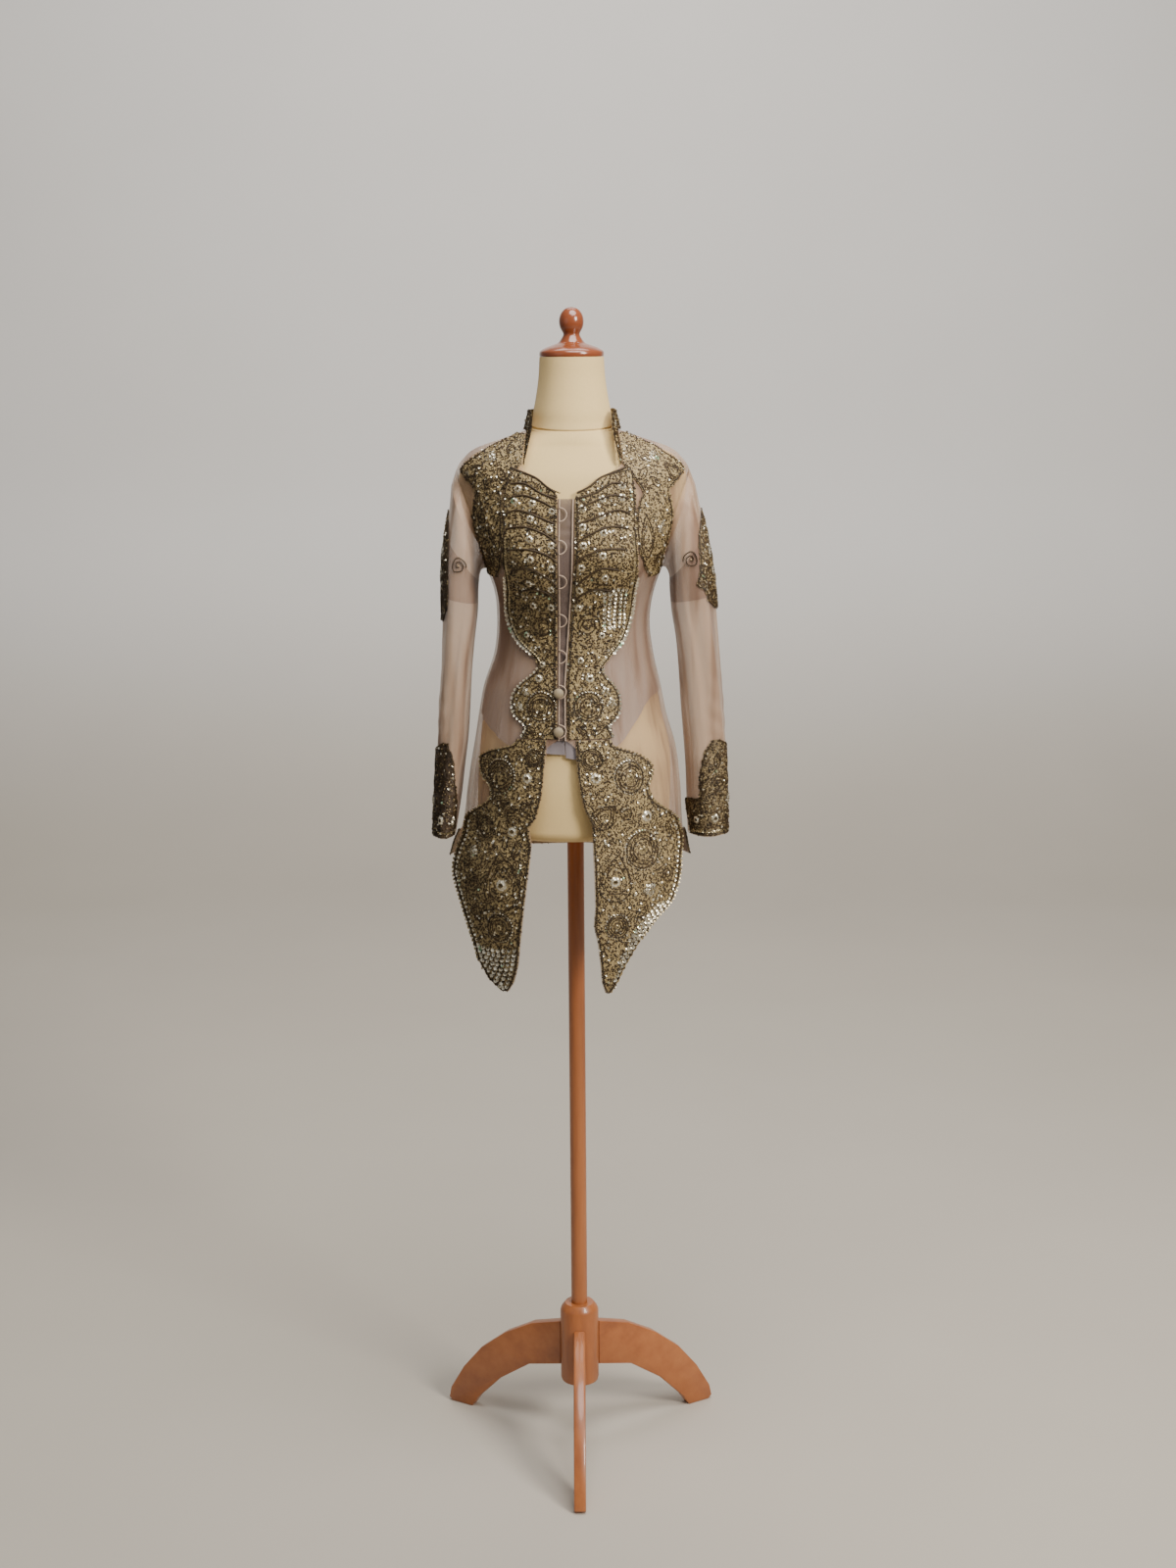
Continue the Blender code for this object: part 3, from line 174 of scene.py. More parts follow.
def sweep():
    """Floor and wall in one sheet, with a wide curve between them."""
    profile = [(SWEEP_NEAR, 0.0)]
    for step in range(CORNER_STEPS + 1):
        turn = step / CORNER_STEPS * math.pi / 2
        away, up = 1 - math.sin(turn), 1 - math.cos(turn)
        profile.append((SWEEP_REACH - SWEEP_CORNER * away, SWEEP_CORNER * up))
    profile.append((SWEEP_REACH, SWEEP_TALL))
    points = [(x, y, z) for y, z in profile for x in (-SWEEP_HALF, SWEEP_HALF)]
    faces = [(2 * i, 2 * i + 1, 2 * i + 3, 2 * i + 2) for i in range(len(profile) - 1)]
    mesh = bpy.data.meshes.new("studio")
    mesh.from_pydata(points, [], faces)
    mesh.polygons.foreach_set("use_smooth", [True] * len(faces))
    shade = Shade("studio_paint", Roughness=0.9)
    mottle = shade.noise(2.0, 3.0)
    wall = shade.blend((0.78, 0.755, 0.72), (0.83, 0.805, 0.77), mottle)
    floor = shade.blend((0.46, 0.415, 0.350), (0.50, 0.455, 0.385), mottle)
    heights = {"Value": shade.axis("Z"), "From Min": 0.0, "From Max": 1.1}
    rise = shade.node("ShaderNodeMapRange", {"interpolation_type": "SMOOTHSTEP"}, heights)
    mesh.materials.append(shade.set(Base_Color=shade.blend(floor, wall, rise)))
    return link(bpy.data.objects.new("studio", mesh))


def soft_light(name, place, target, size, power, colour):
    light = bpy.data.lights.new(name, "AREA")
    light.shape = "DISK"
    light.size = size
    light.energy = power
    light.color = colour
    lamp = link(bpy.data.objects.new(name, light))
    lamp.location = place
    lamp.rotation_euler = (Vector(target) - Vector(place)).to_track_quat("-Z", "Y").to_euler()


sweep()
soft_light("key_light", (2.3, -2.3, 2.7), (0.0, 0.0, 1.1), 1.1, 138.0, (1.0, 0.95, 0.88))
soft_light("fill_light", (-2.6, -2.4, 1.9), (0.0, 0.0, 1.0), 2.4, 5.0, (0.95, 0.97, 1.0))
soft_light("top_light", (0.4, -0.6, 3.6), (0.0, 1.8, 1.0), 2.0, 110.0, (1.0, 0.98, 0.96))
soft_light("wall_light", (0.0, 1.8, 4.6), (0.0, 4.8, 1.2), 2.6, 90.0, (1.0, 0.98, 0.96))
world = bpy.data.worlds.new("studio_air")
world.use_nodes = True
world.node_tree.nodes["Background"].inputs["Color"].default_value = (0.80, 0.82, 0.85, 1.0)
world.node_tree.nodes["Background"].inputs["Strength"].default_value = 0.23
bpy.context.scene.world = world

camera = link(bpy.data.objects.new("camera", bpy.data.cameras.new("camera")))
camera.data.lens = FOCAL / PHOTO_TALL * camera.data.sensor_width
camera.data.clip_end = 50.0
camera.location = EYE.tolist()
camera.rotation_mode = "QUATERNION"
camera.rotation_quaternion = Quaternion((1, 0, 0), math.pi / 2 - TILT) @ Quaternion((0, 0, 1), -ROLL)
bpy.context.scene.camera = camera


# The dress form: a padded torso and neck under tight cream cotton, with one seam round the
# base of the neck. Its sections are the blouse's own sections, moved in under the cloth.
Section = namedtuple("Section", "z half front back shift inset")
FIT = 0.0070
BODY = (
    Section(0.740, 0.168, 0.136, 0.134, -0.0120, 0.030),
    Section(0.800, 0.178, 0.140, 0.137, -0.0115, 0.030),
    Section(0.860, 0.184, 0.141, 0.139, -0.0105, 0.030),
    Section(0.930, 0.181, 0.138, 0.138, -0.0090, 0.030),
    Section(0.965, 0.174, 0.134, 0.136, -0.0075, 0.027),
    Section(0.990, 0.166, 0.130, 0.134, -0.0050, 0.023),
    Section(1.015, 0.162, 0.127, 0.132, -0.0030, 0.019),
    Section(1.064, 0.156, 0.121, 0.127, -0.0010, 0.013),
    Section(1.117, 0.149, 0.112, 0.118, 0.0000, 0.0090),
    Section(1.163, 0.139, 0.104, 0.107, -0.0030, 0.0075),
    Section(1.204, 0.131, 0.098, 0.096, -0.0030, FIT),
    Section(1.255, 0.117, 0.092, 0.082, -0.0005, FIT),
    Section(1.303, 0.1125, 0.091, 0.078, -0.0005, FIT),
    Section(1.340, 0.1165, 0.097, 0.083, 0.0010, FIT),
    Section(1.377, 0.1290, 0.105, 0.092, 0.0015, FIT),
    Section(1.410, 0.1460, 0.110, 0.099, 0.0010, FIT),
    Section(1.450, 0.1630, 0.108, 0.104, 0.0000, FIT),
    Section(1.490, 0.1710, 0.100, 0.105, 0.0000, FIT),
    Section(1.520, 0.1690, 0.090, 0.100, 0.0000, FIT),
    Section(1.535, 0.1590, 0.082, 0.094, 0.0000, FIT),
    Section(1.552, 0.1370, 0.073, 0.084, 0.0000, FIT),
    Section(1.563, 0.1040, 0.068, 0.077, 0.0000, FIT),
    Section(1.575, 0.0690, 0.064, 0.070, 0.0000, FIT),
)
BUST_ANGLE = math.radians(29.0)
BUST_SPREAD = math.radians(21.0)
BUST_HEIGHT = 1.388
BUST_TALL = 0.048
BUST_OUT = 0.017
FOLD_START = 1.150
FOLD_FULL = 1.070
BEADED_TOP = 1.050
BEADED_FLAT = 1.000
FOLD_DEPTH = 0.0050
FOLDS_ROUND = 12


def smooth_column(rows, column, at):
    """A column of a table read between its rows, with a smooth curve through them."""
    rows = sorted(rows, key=lambda row: row[0])
    known = np.array([row[0] for row in rows])
    values = np.array([getattr(row, column) for row in rows], float)
    slopes = np.gradient(values, known)
    at = np.clip(np.asarray(at, float), known[0], known[-1])
    cell = np.clip(np.searchsorted(known, at) - 1, 0, len(known) - 2)
    span = known[cell + 1] - known[cell]
    part = (at - known[cell]) / span
    start = (1 + 2 * part) * (1 - part) ** 2
    inside = values[cell] * start + values[cell + 1] * (1 - start)
    lean = slopes[cell] * part * (1 - part) ** 2 + slopes[cell + 1] * part**2 * (part - 1)
    return inside + span * lean


def smooth_step(low, high, values):
    part = np.clip((values - low) / (high - low), 0.0, 1.0)
    return part * part * (3 - 2 * part)


def unbeaded(angles, heights):
    """One where the cloth hangs free, nought on the fronts where the bead lace holds it flat."""
    return 1 - smooth_step(BEADED_TOP, BEADED_FLAT, heights) * smooth_step(-0.35, 0.0, np.cos(angles))


def hip_folds(angles, heights):
    depth = FOLD_DEPTH * smooth_step(FOLD_START, FOLD_FULL, heights) * unbeaded(angles, heights)
    uneven = 0.55 + 0.45 * np.sin(2.3 * angles + 0.8)
    beside = 0.35 + 0.65 * np.abs(np.sin(angles))
    return depth * uneven * beside * (0.5 + 0.5 * np.cos(FOLDS_ROUND * angles + 0.7))


def body_surface(angles, heights, folded=True):
    """Points on the outside of the tulle, at angles from the front, about the form's axis."""
    angles, heights = np.broadcast_arrays(np.asarray(angles, float), np.asarray(heights, float))
    wrapped = (angles + math.pi) % (2 * math.pi) - math.pi
    level = BUST_OUT * np.exp(-(((heights - BUST_HEIGHT) / BUST_TALL) ** 2))
    swell = level * np.exp(-(((wrapped - BUST_ANGLE) / BUST_SPREAD) ** 2))
    swell = swell + level * np.exp(-(((wrapped + BUST_ANGLE) / BUST_SPREAD) ** 2))
    if folded:
        swell = swell + hip_folds(wrapped, heights)
    front = smooth_column(BODY, "front", heights)
    back = smooth_column(BODY, "back", heights)
    depth = np.where(np.cos(angles) > 0, front, back) + swell
    half = smooth_column(BODY, "half", heights) + swell * np.abs(np.sin(angles))
    shift = smooth_column(BODY, "shift", heights)
    return np.stack([shift + half * np.sin(angles), -depth * np.cos(angles), heights], axis=-1)


def on_body(angles, heights, out, folded=True):
    round_body = body_surface(angles + 0.01, heights, folded) - body_surface(angles - 0.01, heights, folded)
    up_body = body_surface(angles, heights + 0.002, folded) - body_surface(angles, heights - 0.002, folded)
    normals = np.cross(round_body, up_body)
    normals = normals / np.linalg.norm(normals, axis=-1, keepdims=True)
    return body_surface(angles, heights, folded) + np.asarray(out, float)[..., None] * normals


def angle_of(x, heights):
    """Angle from the front at which the tulle has this x."""
    half = smooth_column(BODY, "half", heights)
    shift = smooth_column(BODY, "shift", heights)
    return np.arcsin(np.clip((np.asarray(x) - shift) / half, -1.0, 1.0))


def skin(name, points, material, closed=False, cut=None, sharp=60.0):
    """A smooth sheet through a grid of points about the axis; cut is its place in the flat cloth."""
    rows, columns = points.shape[:2]
    around = columns if closed else columns - 1
    low = np.arange(rows - 1)[:, None] * columns
    start = low + np.arange(around)
    after = low + (np.arange(around) + 1) % columns
    faces = np.stack([start, after, after + columns, start + columns], axis=-1).reshape(-1, 4)
    mesh = bpy.data.meshes.new(name)
    mesh.from_pydata((points.reshape(-1, 3) + AXIS).tolist(), [], faces.tolist())
    mesh.polygons.foreach_set("use_smooth", [True] * len(mesh.polygons))
    mesh.set_sharp_from_angle(angle=math.radians(sharp))
    mesh.materials.append(material)
    if cut is not None:
        flat = mesh.attributes.new("cut", "FLOAT_VECTOR", "POINT")
        place = np.zeros((rows * columns, 3))
        place[:, :2] = cut.reshape(-1, 2)
        flat.data.foreach_set("vector", place.ravel())
    return link(bpy.data.objects.new(name, mesh))


def stand_for(piece, node):
    """The piece rides with the body, in place of one solid."""
    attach(piece, "root")
    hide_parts(node)


NeckRing = namedtuple("NeckRing", "z radius")
NECK = (
    NeckRing(1.574, 0.0610),
    NeckRing(1.586, 0.0582),
    NeckRing(1.600, 0.0562),
    NeckRing(1.622, 0.0520),
    NeckRing(1.650, 0.0480),
    NeckRing(1.6788, 0.0462),
)
FORM_FOOT = 0.986
FORM_LOW = 1.000
SHOULDER_TOP = 1.561
NECK_SEAM = 1.5805
NECK_SEAM_DIP = 0.005
NECK_SEAM_DEEP = 0.0016
NECK_SEAM_WIDE = 0.0012


def form_points():
    turns = np.arange(96) / 96 * 2 * math.pi
    heights = np.linspace(FORM_LOW, SHOULDER_TOP, 110)[:, None]
    inset = smooth_column(BODY, "inset", heights)
    torso = on_body(turns + 0 * heights, heights + 0 * turns, -inset + 0 * turns, False)
    foot = np.repeat(torso[:1], 4, axis=0)
    for ring, (share, drop) in enumerate(((0.0, 0.0), (0.80, 0.0), (0.86, 0.0), (0.955, 0.35))):
        foot[ring] *= (share, share, 1.0)
        foot[ring, :, 2] = FORM_FOOT + (FORM_LOW - FORM_FOOT) * drop
    levels = np.linspace(NECK[0].z, NECK[-1].z, 150)[:, None]
    seam = NECK_SEAM - NECK_SEAM_DIP * np.cos(turns)
    groove = NECK_SEAM_DEEP * np.exp(-(((levels - seam) / NECK_SEAM_WIDE) ** 2))
    radius = smooth_column(NECK, "radius", levels) - groove
    neck = np.stack([radius * np.sin(turns), -radius * np.cos(turns), levels + 0 * turns], axis=-1)
    lid = neck[-1:] * (0.3, 0.3, 1.0)
    return np.concatenate([foot, torso, neck, lid])


def cotton():
    shade = Shade("cream_cotton", Roughness=0.85)
    shade.shader.inputs["Sheen Weight"].default_value = 0.05
    around = ((shade.axis("X") + shade.axis("Y")) * 5200.0).sine()
    weave = around * (shade.axis("Z") * 5200.0).sine()
    soft = shade.noise(9.0, 3.0)
    thread = shade.noise(700.0, 1.0, shade.stretched(1.0, 1.0, 0.25))
    tone = shade.blend((0.66, 0.475, 0.205), (0.73, 0.535, 0.250), soft)
    tone = shade.blend(tone, (0.52, 0.365, 0.155), thread * 0.35)
    return shade.set(Base_Color=tone, Normal=shade.bump(weave * 0.5 + thread, 0.25, 0.0003))


form = skin("dress_form", form_points(), cotton(), closed=True)
stand_for(form, "form_torso")


# The cap on the neck: turned wood with a ball on top, under a glossy reddish brown varnish.
CapRing = namedtuple("CapRing", "radius z")
CAP = (
    CapRing(0.0460, 1.6792),
    CapRing(0.0464, 1.6830),
    CapRing(0.0450, 1.6868),
    CapRing(0.0380, 1.6912),
    CapRing(0.0280, 1.6950),
    CapRing(0.0192, 1.6985),
    CapRing(0.0145, 1.7045),
    CapRing(0.0118, 1.7098),
    CapRing(0.0128, 1.7132),
    CapRing(0.0162, 1.7195),
    CapRing(0.0177, 1.7275),
    CapRing(0.0166, 1.7355),
    CapRing(0.0134, 1.7418),
    CapRing(0.0078, 1.7466),
    CapRing(0.0001, 1.7486),
)


def read_line(rows, at, closed=False):
    """Rows of a table read at places between them, along a smooth curve through them."""
    rows = np.asarray(rows, float)
    last = len(rows) - 1
    at = np.asarray(at, float)
    low = np.clip(np.floor(at).astype(int), 0, last - 1)
    part = (at - low)[..., None]
    near = [low - 1, low, low + 1, low + 2]
    near = [number % last for number in near] if closed else [np.clip(number, 0, last) for number in near]
    before, first, second, after = (rows[number] for number in near)
    bend = 2 * before - 5 * first + 4 * second - after
    twist = 3 * first - before - 3 * second + after
    return first + 0.5 * part * (second - before + part * (bend + part * twist))


def turned(name, profile, sides, material, sharp=35.0):
    turns = np.arange(sides) / sides * 2 * math.pi
    radius = np.array([ring[0] for ring in profile])[:, None]
    heights = np.array([ring[1] for ring in profile])[:, None] + 0 * turns
    points = np.stack([radius * np.cos(turns), radius * np.sin(turns), heights], axis=-1)
    return skin(name, points, material, closed=True, sharp=sharp)


def varnish():
    shade = Shade("red_brown_varnish", Roughness=0.22)
    shade.shader.inputs["Coat Weight"].default_value = 0.45
    shade.shader.inputs["Coat Roughness"].default_value = 0.08
    rings = shade.noise(60.0, 3.0, shade.stretched(1.0, 1.0, 6.0))
    tone = shade.blend((0.175, 0.042, 0.014), (0.235, 0.062, 0.022), rings)
    return shade.set(Base_Color=tone, Normal=shade.bump(shade.noise(900.0), 0.05, 0.0002))


cap_profile = np.concatenate([[(0.0300, CAP[0].z)], read_line(CAP, np.linspace(0, len(CAP) - 1, 85))])
cap = turned("neck_cap_turned", np.maximum(cap_profile, 0.0001), 64, varnish())
stand_for(cap, "neck_cap")


# The stand: a round pole into a turned hub, and three legs sawn from flat board with rounded
# edges, all in orange-brown varnished wood with the grain along each piece.
LegPoint = namedtuple("LegPoint", "out z")
HUB_FLAT = 0.0300
LEG = (
    LegPoint(HUB_FLAT + 0.0003, 0.1150),
    LegPoint(0.0900, 0.1000),
    LegPoint(0.1450, 0.0620),
    LegPoint(0.1880, 0.0180),
    LegPoint(0.2000, 0.0000),
    LegPoint(0.2380, 0.0000),
    LegPoint(0.2440, 0.0060),
    LegPoint(0.2400, 0.0240),
    LegPoint(0.2150, 0.0660),
    LegPoint(0.1800, 0.1080),
    LegPoint(0.1350, 0.1440),
    LegPoint(0.0850, 0.1720),
    LegPoint(HUB_FLAT + 0.0003, 0.1880),
)
LEG_THICK = 0.018
LEG_EDGE = 0.0028


def wood(name, x, y, z):
    shade = Shade(name, Roughness=0.38)
    shade.shader.inputs["Coat Weight"].default_value = 0.25
    grain = shade.noise(55.0, 5.0, shade.stretched(x, y, z), 0.6)
    broad = shade.noise(9.0, 2.0, shade.stretched(x, y, z))
    tone = shade.node(
        "ShaderNodeValToRGB",
        {"stops": [(0.30, (0.22, 0.062, 0.018)), (0.52, (0.36, 0.115, 0.032)), (0.72, (0.44, 0.155, 0.046))]},
        {0: grain * 0.6 + broad * 0.4},
    )
    return shade.set(Base_Color=tone, Normal=shade.bump(grain, 0.12, 0.0004))


def leg(number, turn):
    """A board leg: its outline in six loops, three to a face, so that its edges are rounded."""
    outline = np.array([(point.out, point.z) for point in LEG])
    ahead = np.roll(outline, -1, axis=0) - outline
    ahead /= np.linalg.norm(ahead, axis=1, keepdims=True)
    inward = ahead + np.roll(ahead, 1, axis=0)
    inward = np.stack([-inward[:, 1], inward[:, 0]], axis=1)
    inward /= np.linalg.norm(inward, axis=1, keepdims=True)
    drops = (1.0, 0.3, 0.0, 0.0, 0.3, 1.0)
    sides = [LEG_THICK / 2 - LEG_EDGE * deep for deep in (1.0, 0.3, 0.0)]
    sides = [-side for side in sides[::-1]] + sides
    loops = [(side, outline + inward * LEG_EDGE * drop) for side, drop in zip(sides, drops)]
    points, faces, count = [], [], len(outline)
    for side, loop in loops:
        points += [(side, -out, max(z, 0.0)) for out, z in loop]
    for row in range(len(loops) - 1):
        for column in range(count):
            beside = (column + 1) % count
            low, high = row * count, (row + 1) * count
            faces.append((low + column, high + column, high + beside, low + beside))
    faces.append(tuple(range(count)))
    faces.append(tuple(reversed(range(len(points) - count, len(points)))))
    cos, sin = math.cos(turn), math.sin(turn)
    points = [(x * cos - y * sin + AXIS[0], x * sin + y * cos + AXIS[1], z) for x, y, z in points]
    mesh = bpy.data.meshes.new(f"leg_board_{number}")
    mesh.from_pydata(points, [], faces)
    mesh.polygons.foreach_set("use_smooth", [True] * len(mesh.polygons))
    mesh.set_sharp_from_angle(angle=math.radians(38.0))
    along_x = 1.0 - 0.75 * abs(sin)
    mesh.materials.append(wood(f"leg_wood_{number}", along_x, 1.25 - along_x, 0.6))
    piece = link(bpy.data.objects.new(f"leg_board_{number}", mesh))
    stand_for(piece, f"leg_{number}")


for number in range(3):
    leg(number + 1, math.radians(120.0 * number))
HubRing = namedtuple("HubRing", "share z")
HUB = (
    HubRing(0.200, 0.0950),
    HubRing(0.860, 0.0950),
    HubRing(0.950, 0.0962),
    HubRing(0.995, 0.1010),
    HubRing(0.995, 0.2130),
    HubRing(0.920, 0.2185),
    HubRing(0.740, 0.2250),
    HubRing(0.300, 0.2250),
)
POLE_RADIUS = 0.0125
POLE_LOW = 0.2253
POLE_HIGH = 0.9857
hub_profile = [(ring.share * HUB_FLAT, ring.z) for ring in HUB]
hub = turned("hub_turned", hub_profile, 48, wood("hub_wood", 1.0, 1.0, 0.2))
pole_profile = ((POLE_RADIUS, POLE_LOW), (POLE_RADIUS, POLE_HIGH))
pole = turned("pole_turned", pole_profile, 40, wood("pole_wood", 1.0, 1.0, 0.08))
for piece, node in ((hub, "hub"), (pole, "pole")):
    stand_for(piece, node)


# The lining: a long strapless bodice of lilac-grey satin under the tulle, cut in a left front,
# a right front and a back, boned along its seams, with a pointed hem over the hips.
LiningEdge = namedtuple("LiningEdge", "angle right_hem left_hem")
LINING_HEM = (
    LiningEdge(0, 1.1180, 1.1120),
    LiningEdge(25, 1.1220, 1.1280),
    LiningEdge(42, 1.1290, 1.1600),
    LiningEdge(57, 1.1450, 1.1870),
    LiningEdge(73, 1.1585, 1.1960),
    LiningEdge(90, 1.1700, 1.2000),
)
BoneSeam = namedtuple("BoneSeam", "top middle low")
BONES = (BoneSeam(12, 15, 18), BoneSeam(31, 26, 30), BoneSeam(54, 45, 52), BoneSeam(76, 70, 74))
BONE_APART = 1.3
BONE_WIDE = 0.75
BONE_RISE = 0.0019
LINING_OUT = -0.0040
LINING_TOP = 1.402
LINING_RIPPLE = 0.0006
SIDE_SEAM = 0.003
FRONT_SEAM = math.radians(-5.0)


def bone_ridges(angles, heights):
    """Raised double channels where a bone is sewn in along a seam."""
    side = np.abs(np.degrees((angles + math.pi) % (2 * math.pi) - math.pi))
    side = np.minimum(side, 180.0 - side) if np.cos(angles).min() < 0 else side
    ridge = 0.0 * side
    for seam in BONES:
        middle = np.interp(heights, (1.12, 1.27, 1.40), (seam.low, seam.middle, seam.top))
        for offset in (-BONE_APART, BONE_APART):
            ridge = ridge + np.exp(-(((side - middle - offset) / BONE_WIDE) ** 2))
    return BONE_RISE * ridge


def satin():
    shade = Shade("lilac_satin", Roughness=0.45)
    shade.shader.inputs["Sheen Weight"].default_value = 0.12
    streak = shade.noise(160.0, 3.0, shade.stretched(1.0, 1.0, 0.04))
    cloud = shade.noise(14.0, 3.0, shade.stretched(1.0, 1.0, 0.35))
    tone = shade.blend((0.175, 0.148, 0.152), (0.255, 0.216, 0.216), cloud)
    tone = shade.blend(tone, (0.120, 0.100, 0.108), streak * 0.4)
    surface = streak * 0.4 + shade.noise(1500.0, 1.0)
    return shade.set(Base_Color=tone, Normal=shade.bump(surface, 0.18, 0.0004))


def lining(place, angles, hem, top):
    part = np.linspace(0.0, 1.0, 90)[:, None]
    heights = hem + (top - hem) * part
    angles = angles + 0 * heights
    ripple = LINING_RIPPLE * np.sin(31 * angles + 3 * np.sin(18 * heights)) * smooth_step(1.30, 1.20, heights)
    points = on_body(angles, heights, LINING_OUT + bone_ridges(angles, heights) + ripple, False)
    piece = skin(f"lining_{place}_satin", points, lilac)
    stand_for(piece, f"lining_{place}")


lilac = satin()
side_turn = math.pi / 2 - SIDE_SEAM
for side, name, flat, area in ((-1, "right", (0.25, 0.33), 0.0475), (1, "left", (0.26, 0.33), 0.050)):
    angles = np.linspace(FRONT_SEAM + side * SIDE_SEAM, side * side_turn, 90)
    hem = smooth_column(LINING_HEM, f"{name}_hem", np.abs(np.degrees(angles)))
    top = LINING_TOP + 0.030 * np.exp(-(((np.abs(angles) - BUST_ANGLE) / 0.45) ** 2))
    lining(f"front_{name}", angles[::side], hem[::side], top[::side])
angles = math.pi + np.linspace(-side_turn, side_turn, 150)
beside = np.linspace(LINING_HEM[-1].left_hem, LINING_HEM[-1].right_hem, 150)
hem = beside + (1.172 - beside) * np.sin(angles - math.pi / 2)
lining("back", angles, hem, LINING_TOP + 0 * angles)


# The tulle: nude net cut in a left front, a right front and a back, sewn at the shoulders and
# sides. It lies close to the waist and falls in soft upright folds over the hips.
ARMHOLE_BOTTOM = 1.377
ARMHOLE_TOP = 1.522
ARMHOLE_DIP = math.radians(28.0)
BACK_HEM = 0.945
BACK_HEM_DIP = 0.014
FRONT_POINT = 0.769
SHOULDER_SEAM = 1.575
SIDE_SLIT = 1.005
SLEEVE_SEAM = 0.0015
NET_OUT = -0.0005
Edge = namedtuple("Edge", "z inner outer")
RIGHT_FRONT = (
    Edge(0.769, -0.0985, -0.1085),
    Edge(0.785, -0.0895, -0.1285),
    Edge(0.812, -0.0830, -0.1440),
    Edge(0.845, -0.0795, -0.1530),
    Edge(0.897, -0.0735, -0.1720),
    Edge(0.935, -0.0685, -0.1835),
    Edge(0.965, -0.0645, -0.1780),
    Edge(0.990, -0.0620, -0.1690),
    Edge(1.012, -0.0660, None),
    Edge(1.026, -0.0560, None),
    Edge(1.060, -0.0470, None),
    Edge(1.096, -0.0425, None),
    Edge(1.130, -0.0390, None),
    Edge(1.139, -0.0235, None),
    Edge(1.218, -0.0227, None),
    Edge(1.3025, -0.0212, None),
    Edge(1.414, -0.0208, None),
    Edge(1.486, -0.0196, None),
    Edge(1.4976, -0.0291, None),
    Edge(1.5240, -0.0702, None),
    Edge(1.5450, -0.0692, None),
    Edge(1.5630, -0.0672, None),
    Edge(1.5750, -0.0650, None),
)
LEFT_FRONT = (
    Edge(0.769, 0.0420, 0.0510),
    Edge(0.785, 0.0371, 0.0610),
    Edge(0.812, 0.0350, 0.0740),
    Edge(0.845, 0.0315, 0.0945),
    Edge(0.873, 0.0255, 0.1180),
    Edge(0.897, 0.0280, 0.1430),
    Edge(0.930, 0.0270, 0.1540),
    Edge(0.990, 0.0252, 0.1600),
    Edge(1.018, 0.0244, None),
    Edge(1.044, 0.0119, None),
    Edge(1.091, 0.0039, None),
    Edge(1.130, 0.0014, None),
    Edge(1.139, -0.0118, None),
    Edge(1.218, -0.0118, None),
    Edge(1.3025, -0.0055, None),
    Edge(1.372, -0.0005, None),
    Edge(1.486, 0.0022, None),
    Edge(1.4895, 0.0137, None),
    Edge(1.5095, 0.0457, None),
    Edge(1.5310, 0.0707, None),
    Edge(1.5450, 0.0697, None),
    Edge(1.5630, 0.0675, None),
    Edge(1.5750, 0.0650, None),
)
Crease = namedtuple("Crease", "angle top low depth wide lean")
CREASES = (
    Crease(58, 1.16, 0.99, 0.0022, 1.6, 3.0),
    Crease(66, 1.19, 0.98, 0.0030, 1.4, 2.0),
    Crease(73, 1.14, 0.97, 0.0024, 1.2, 1.0),
    Crease(80, 1.18, 0.96, 0.0026, 1.7, 0.0),
    Crease(-55, 1.15, 1.00, 0.0020, 1.5, -3.0),
    Crease(-68, 1.18, 0.98, 0.0028, 1.6, -2.0),
    Crease(-79, 1.14, 0.97, 0.0024, 1.3, 0.0),
    Crease(52, 1.50, 1.40, 0.0020, 2.2, -9.0),
    Crease(60, 1.47, 1.37, 0.0018, 1.8, -7.0),
    Crease(-50, 1.50, 1.39, 0.0018, 2.0, 8.0),
    Crease(-61, 1.47, 1.37, 0.0020, 1.8, 6.0),
    Crease(110, 1.16, 0.96, 0.0026, 1.8, 1.0),
    Crease(131, 1.13, 0.96, 0.0022, 1.5, -1.0),
    Crease(152, 1.17, 0.95, 0.0028, 2.0, 1.0),
    Crease(176, 1.12, 0.95, 0.0022, 1.6, 0.0),
    Crease(-115, 1.15, 0.96, 0.0026, 1.7, 1.0),
    Crease(-140, 1.17, 0.95, 0.0024, 1.9, 0.0),
    Crease(-160, 1.13, 0.95, 0.0022, 1.5, 1.0),
    Crease(125, 1.50, 1.38, 0.0018, 2.4, 7.0),
    Crease(-128, 1.49, 1.39, 0.0018, 2.2, -7.0),
)


def creases(angles, heights):
    turned_to = np.degrees((angles + math.pi) % (2 * math.pi) - math.pi)
    depth = 0.0 * turned_to
    for crease in CREASES:
        part = (crease.top - heights) / (crease.top - crease.low)
        strength = smooth_step(0.0, 0.45, part) * smooth_step(1.6, 1.0, part)
        middle = crease.angle + crease.lean * part
        depth = depth + crease.depth * strength * np.exp(-(((turned_to - middle) / crease.wide) ** 2))
    return depth * unbeaded(angles, heights)


def armhole_angle(heights):
    part = np.clip((heights - ARMHOLE_BOTTOM) / (ARMHOLE_TOP - ARMHOLE_BOTTOM), 0.0, 1.0)
    return math.pi / 2 - ARMHOLE_DIP * np.sqrt(np.sin(math.pi * part))


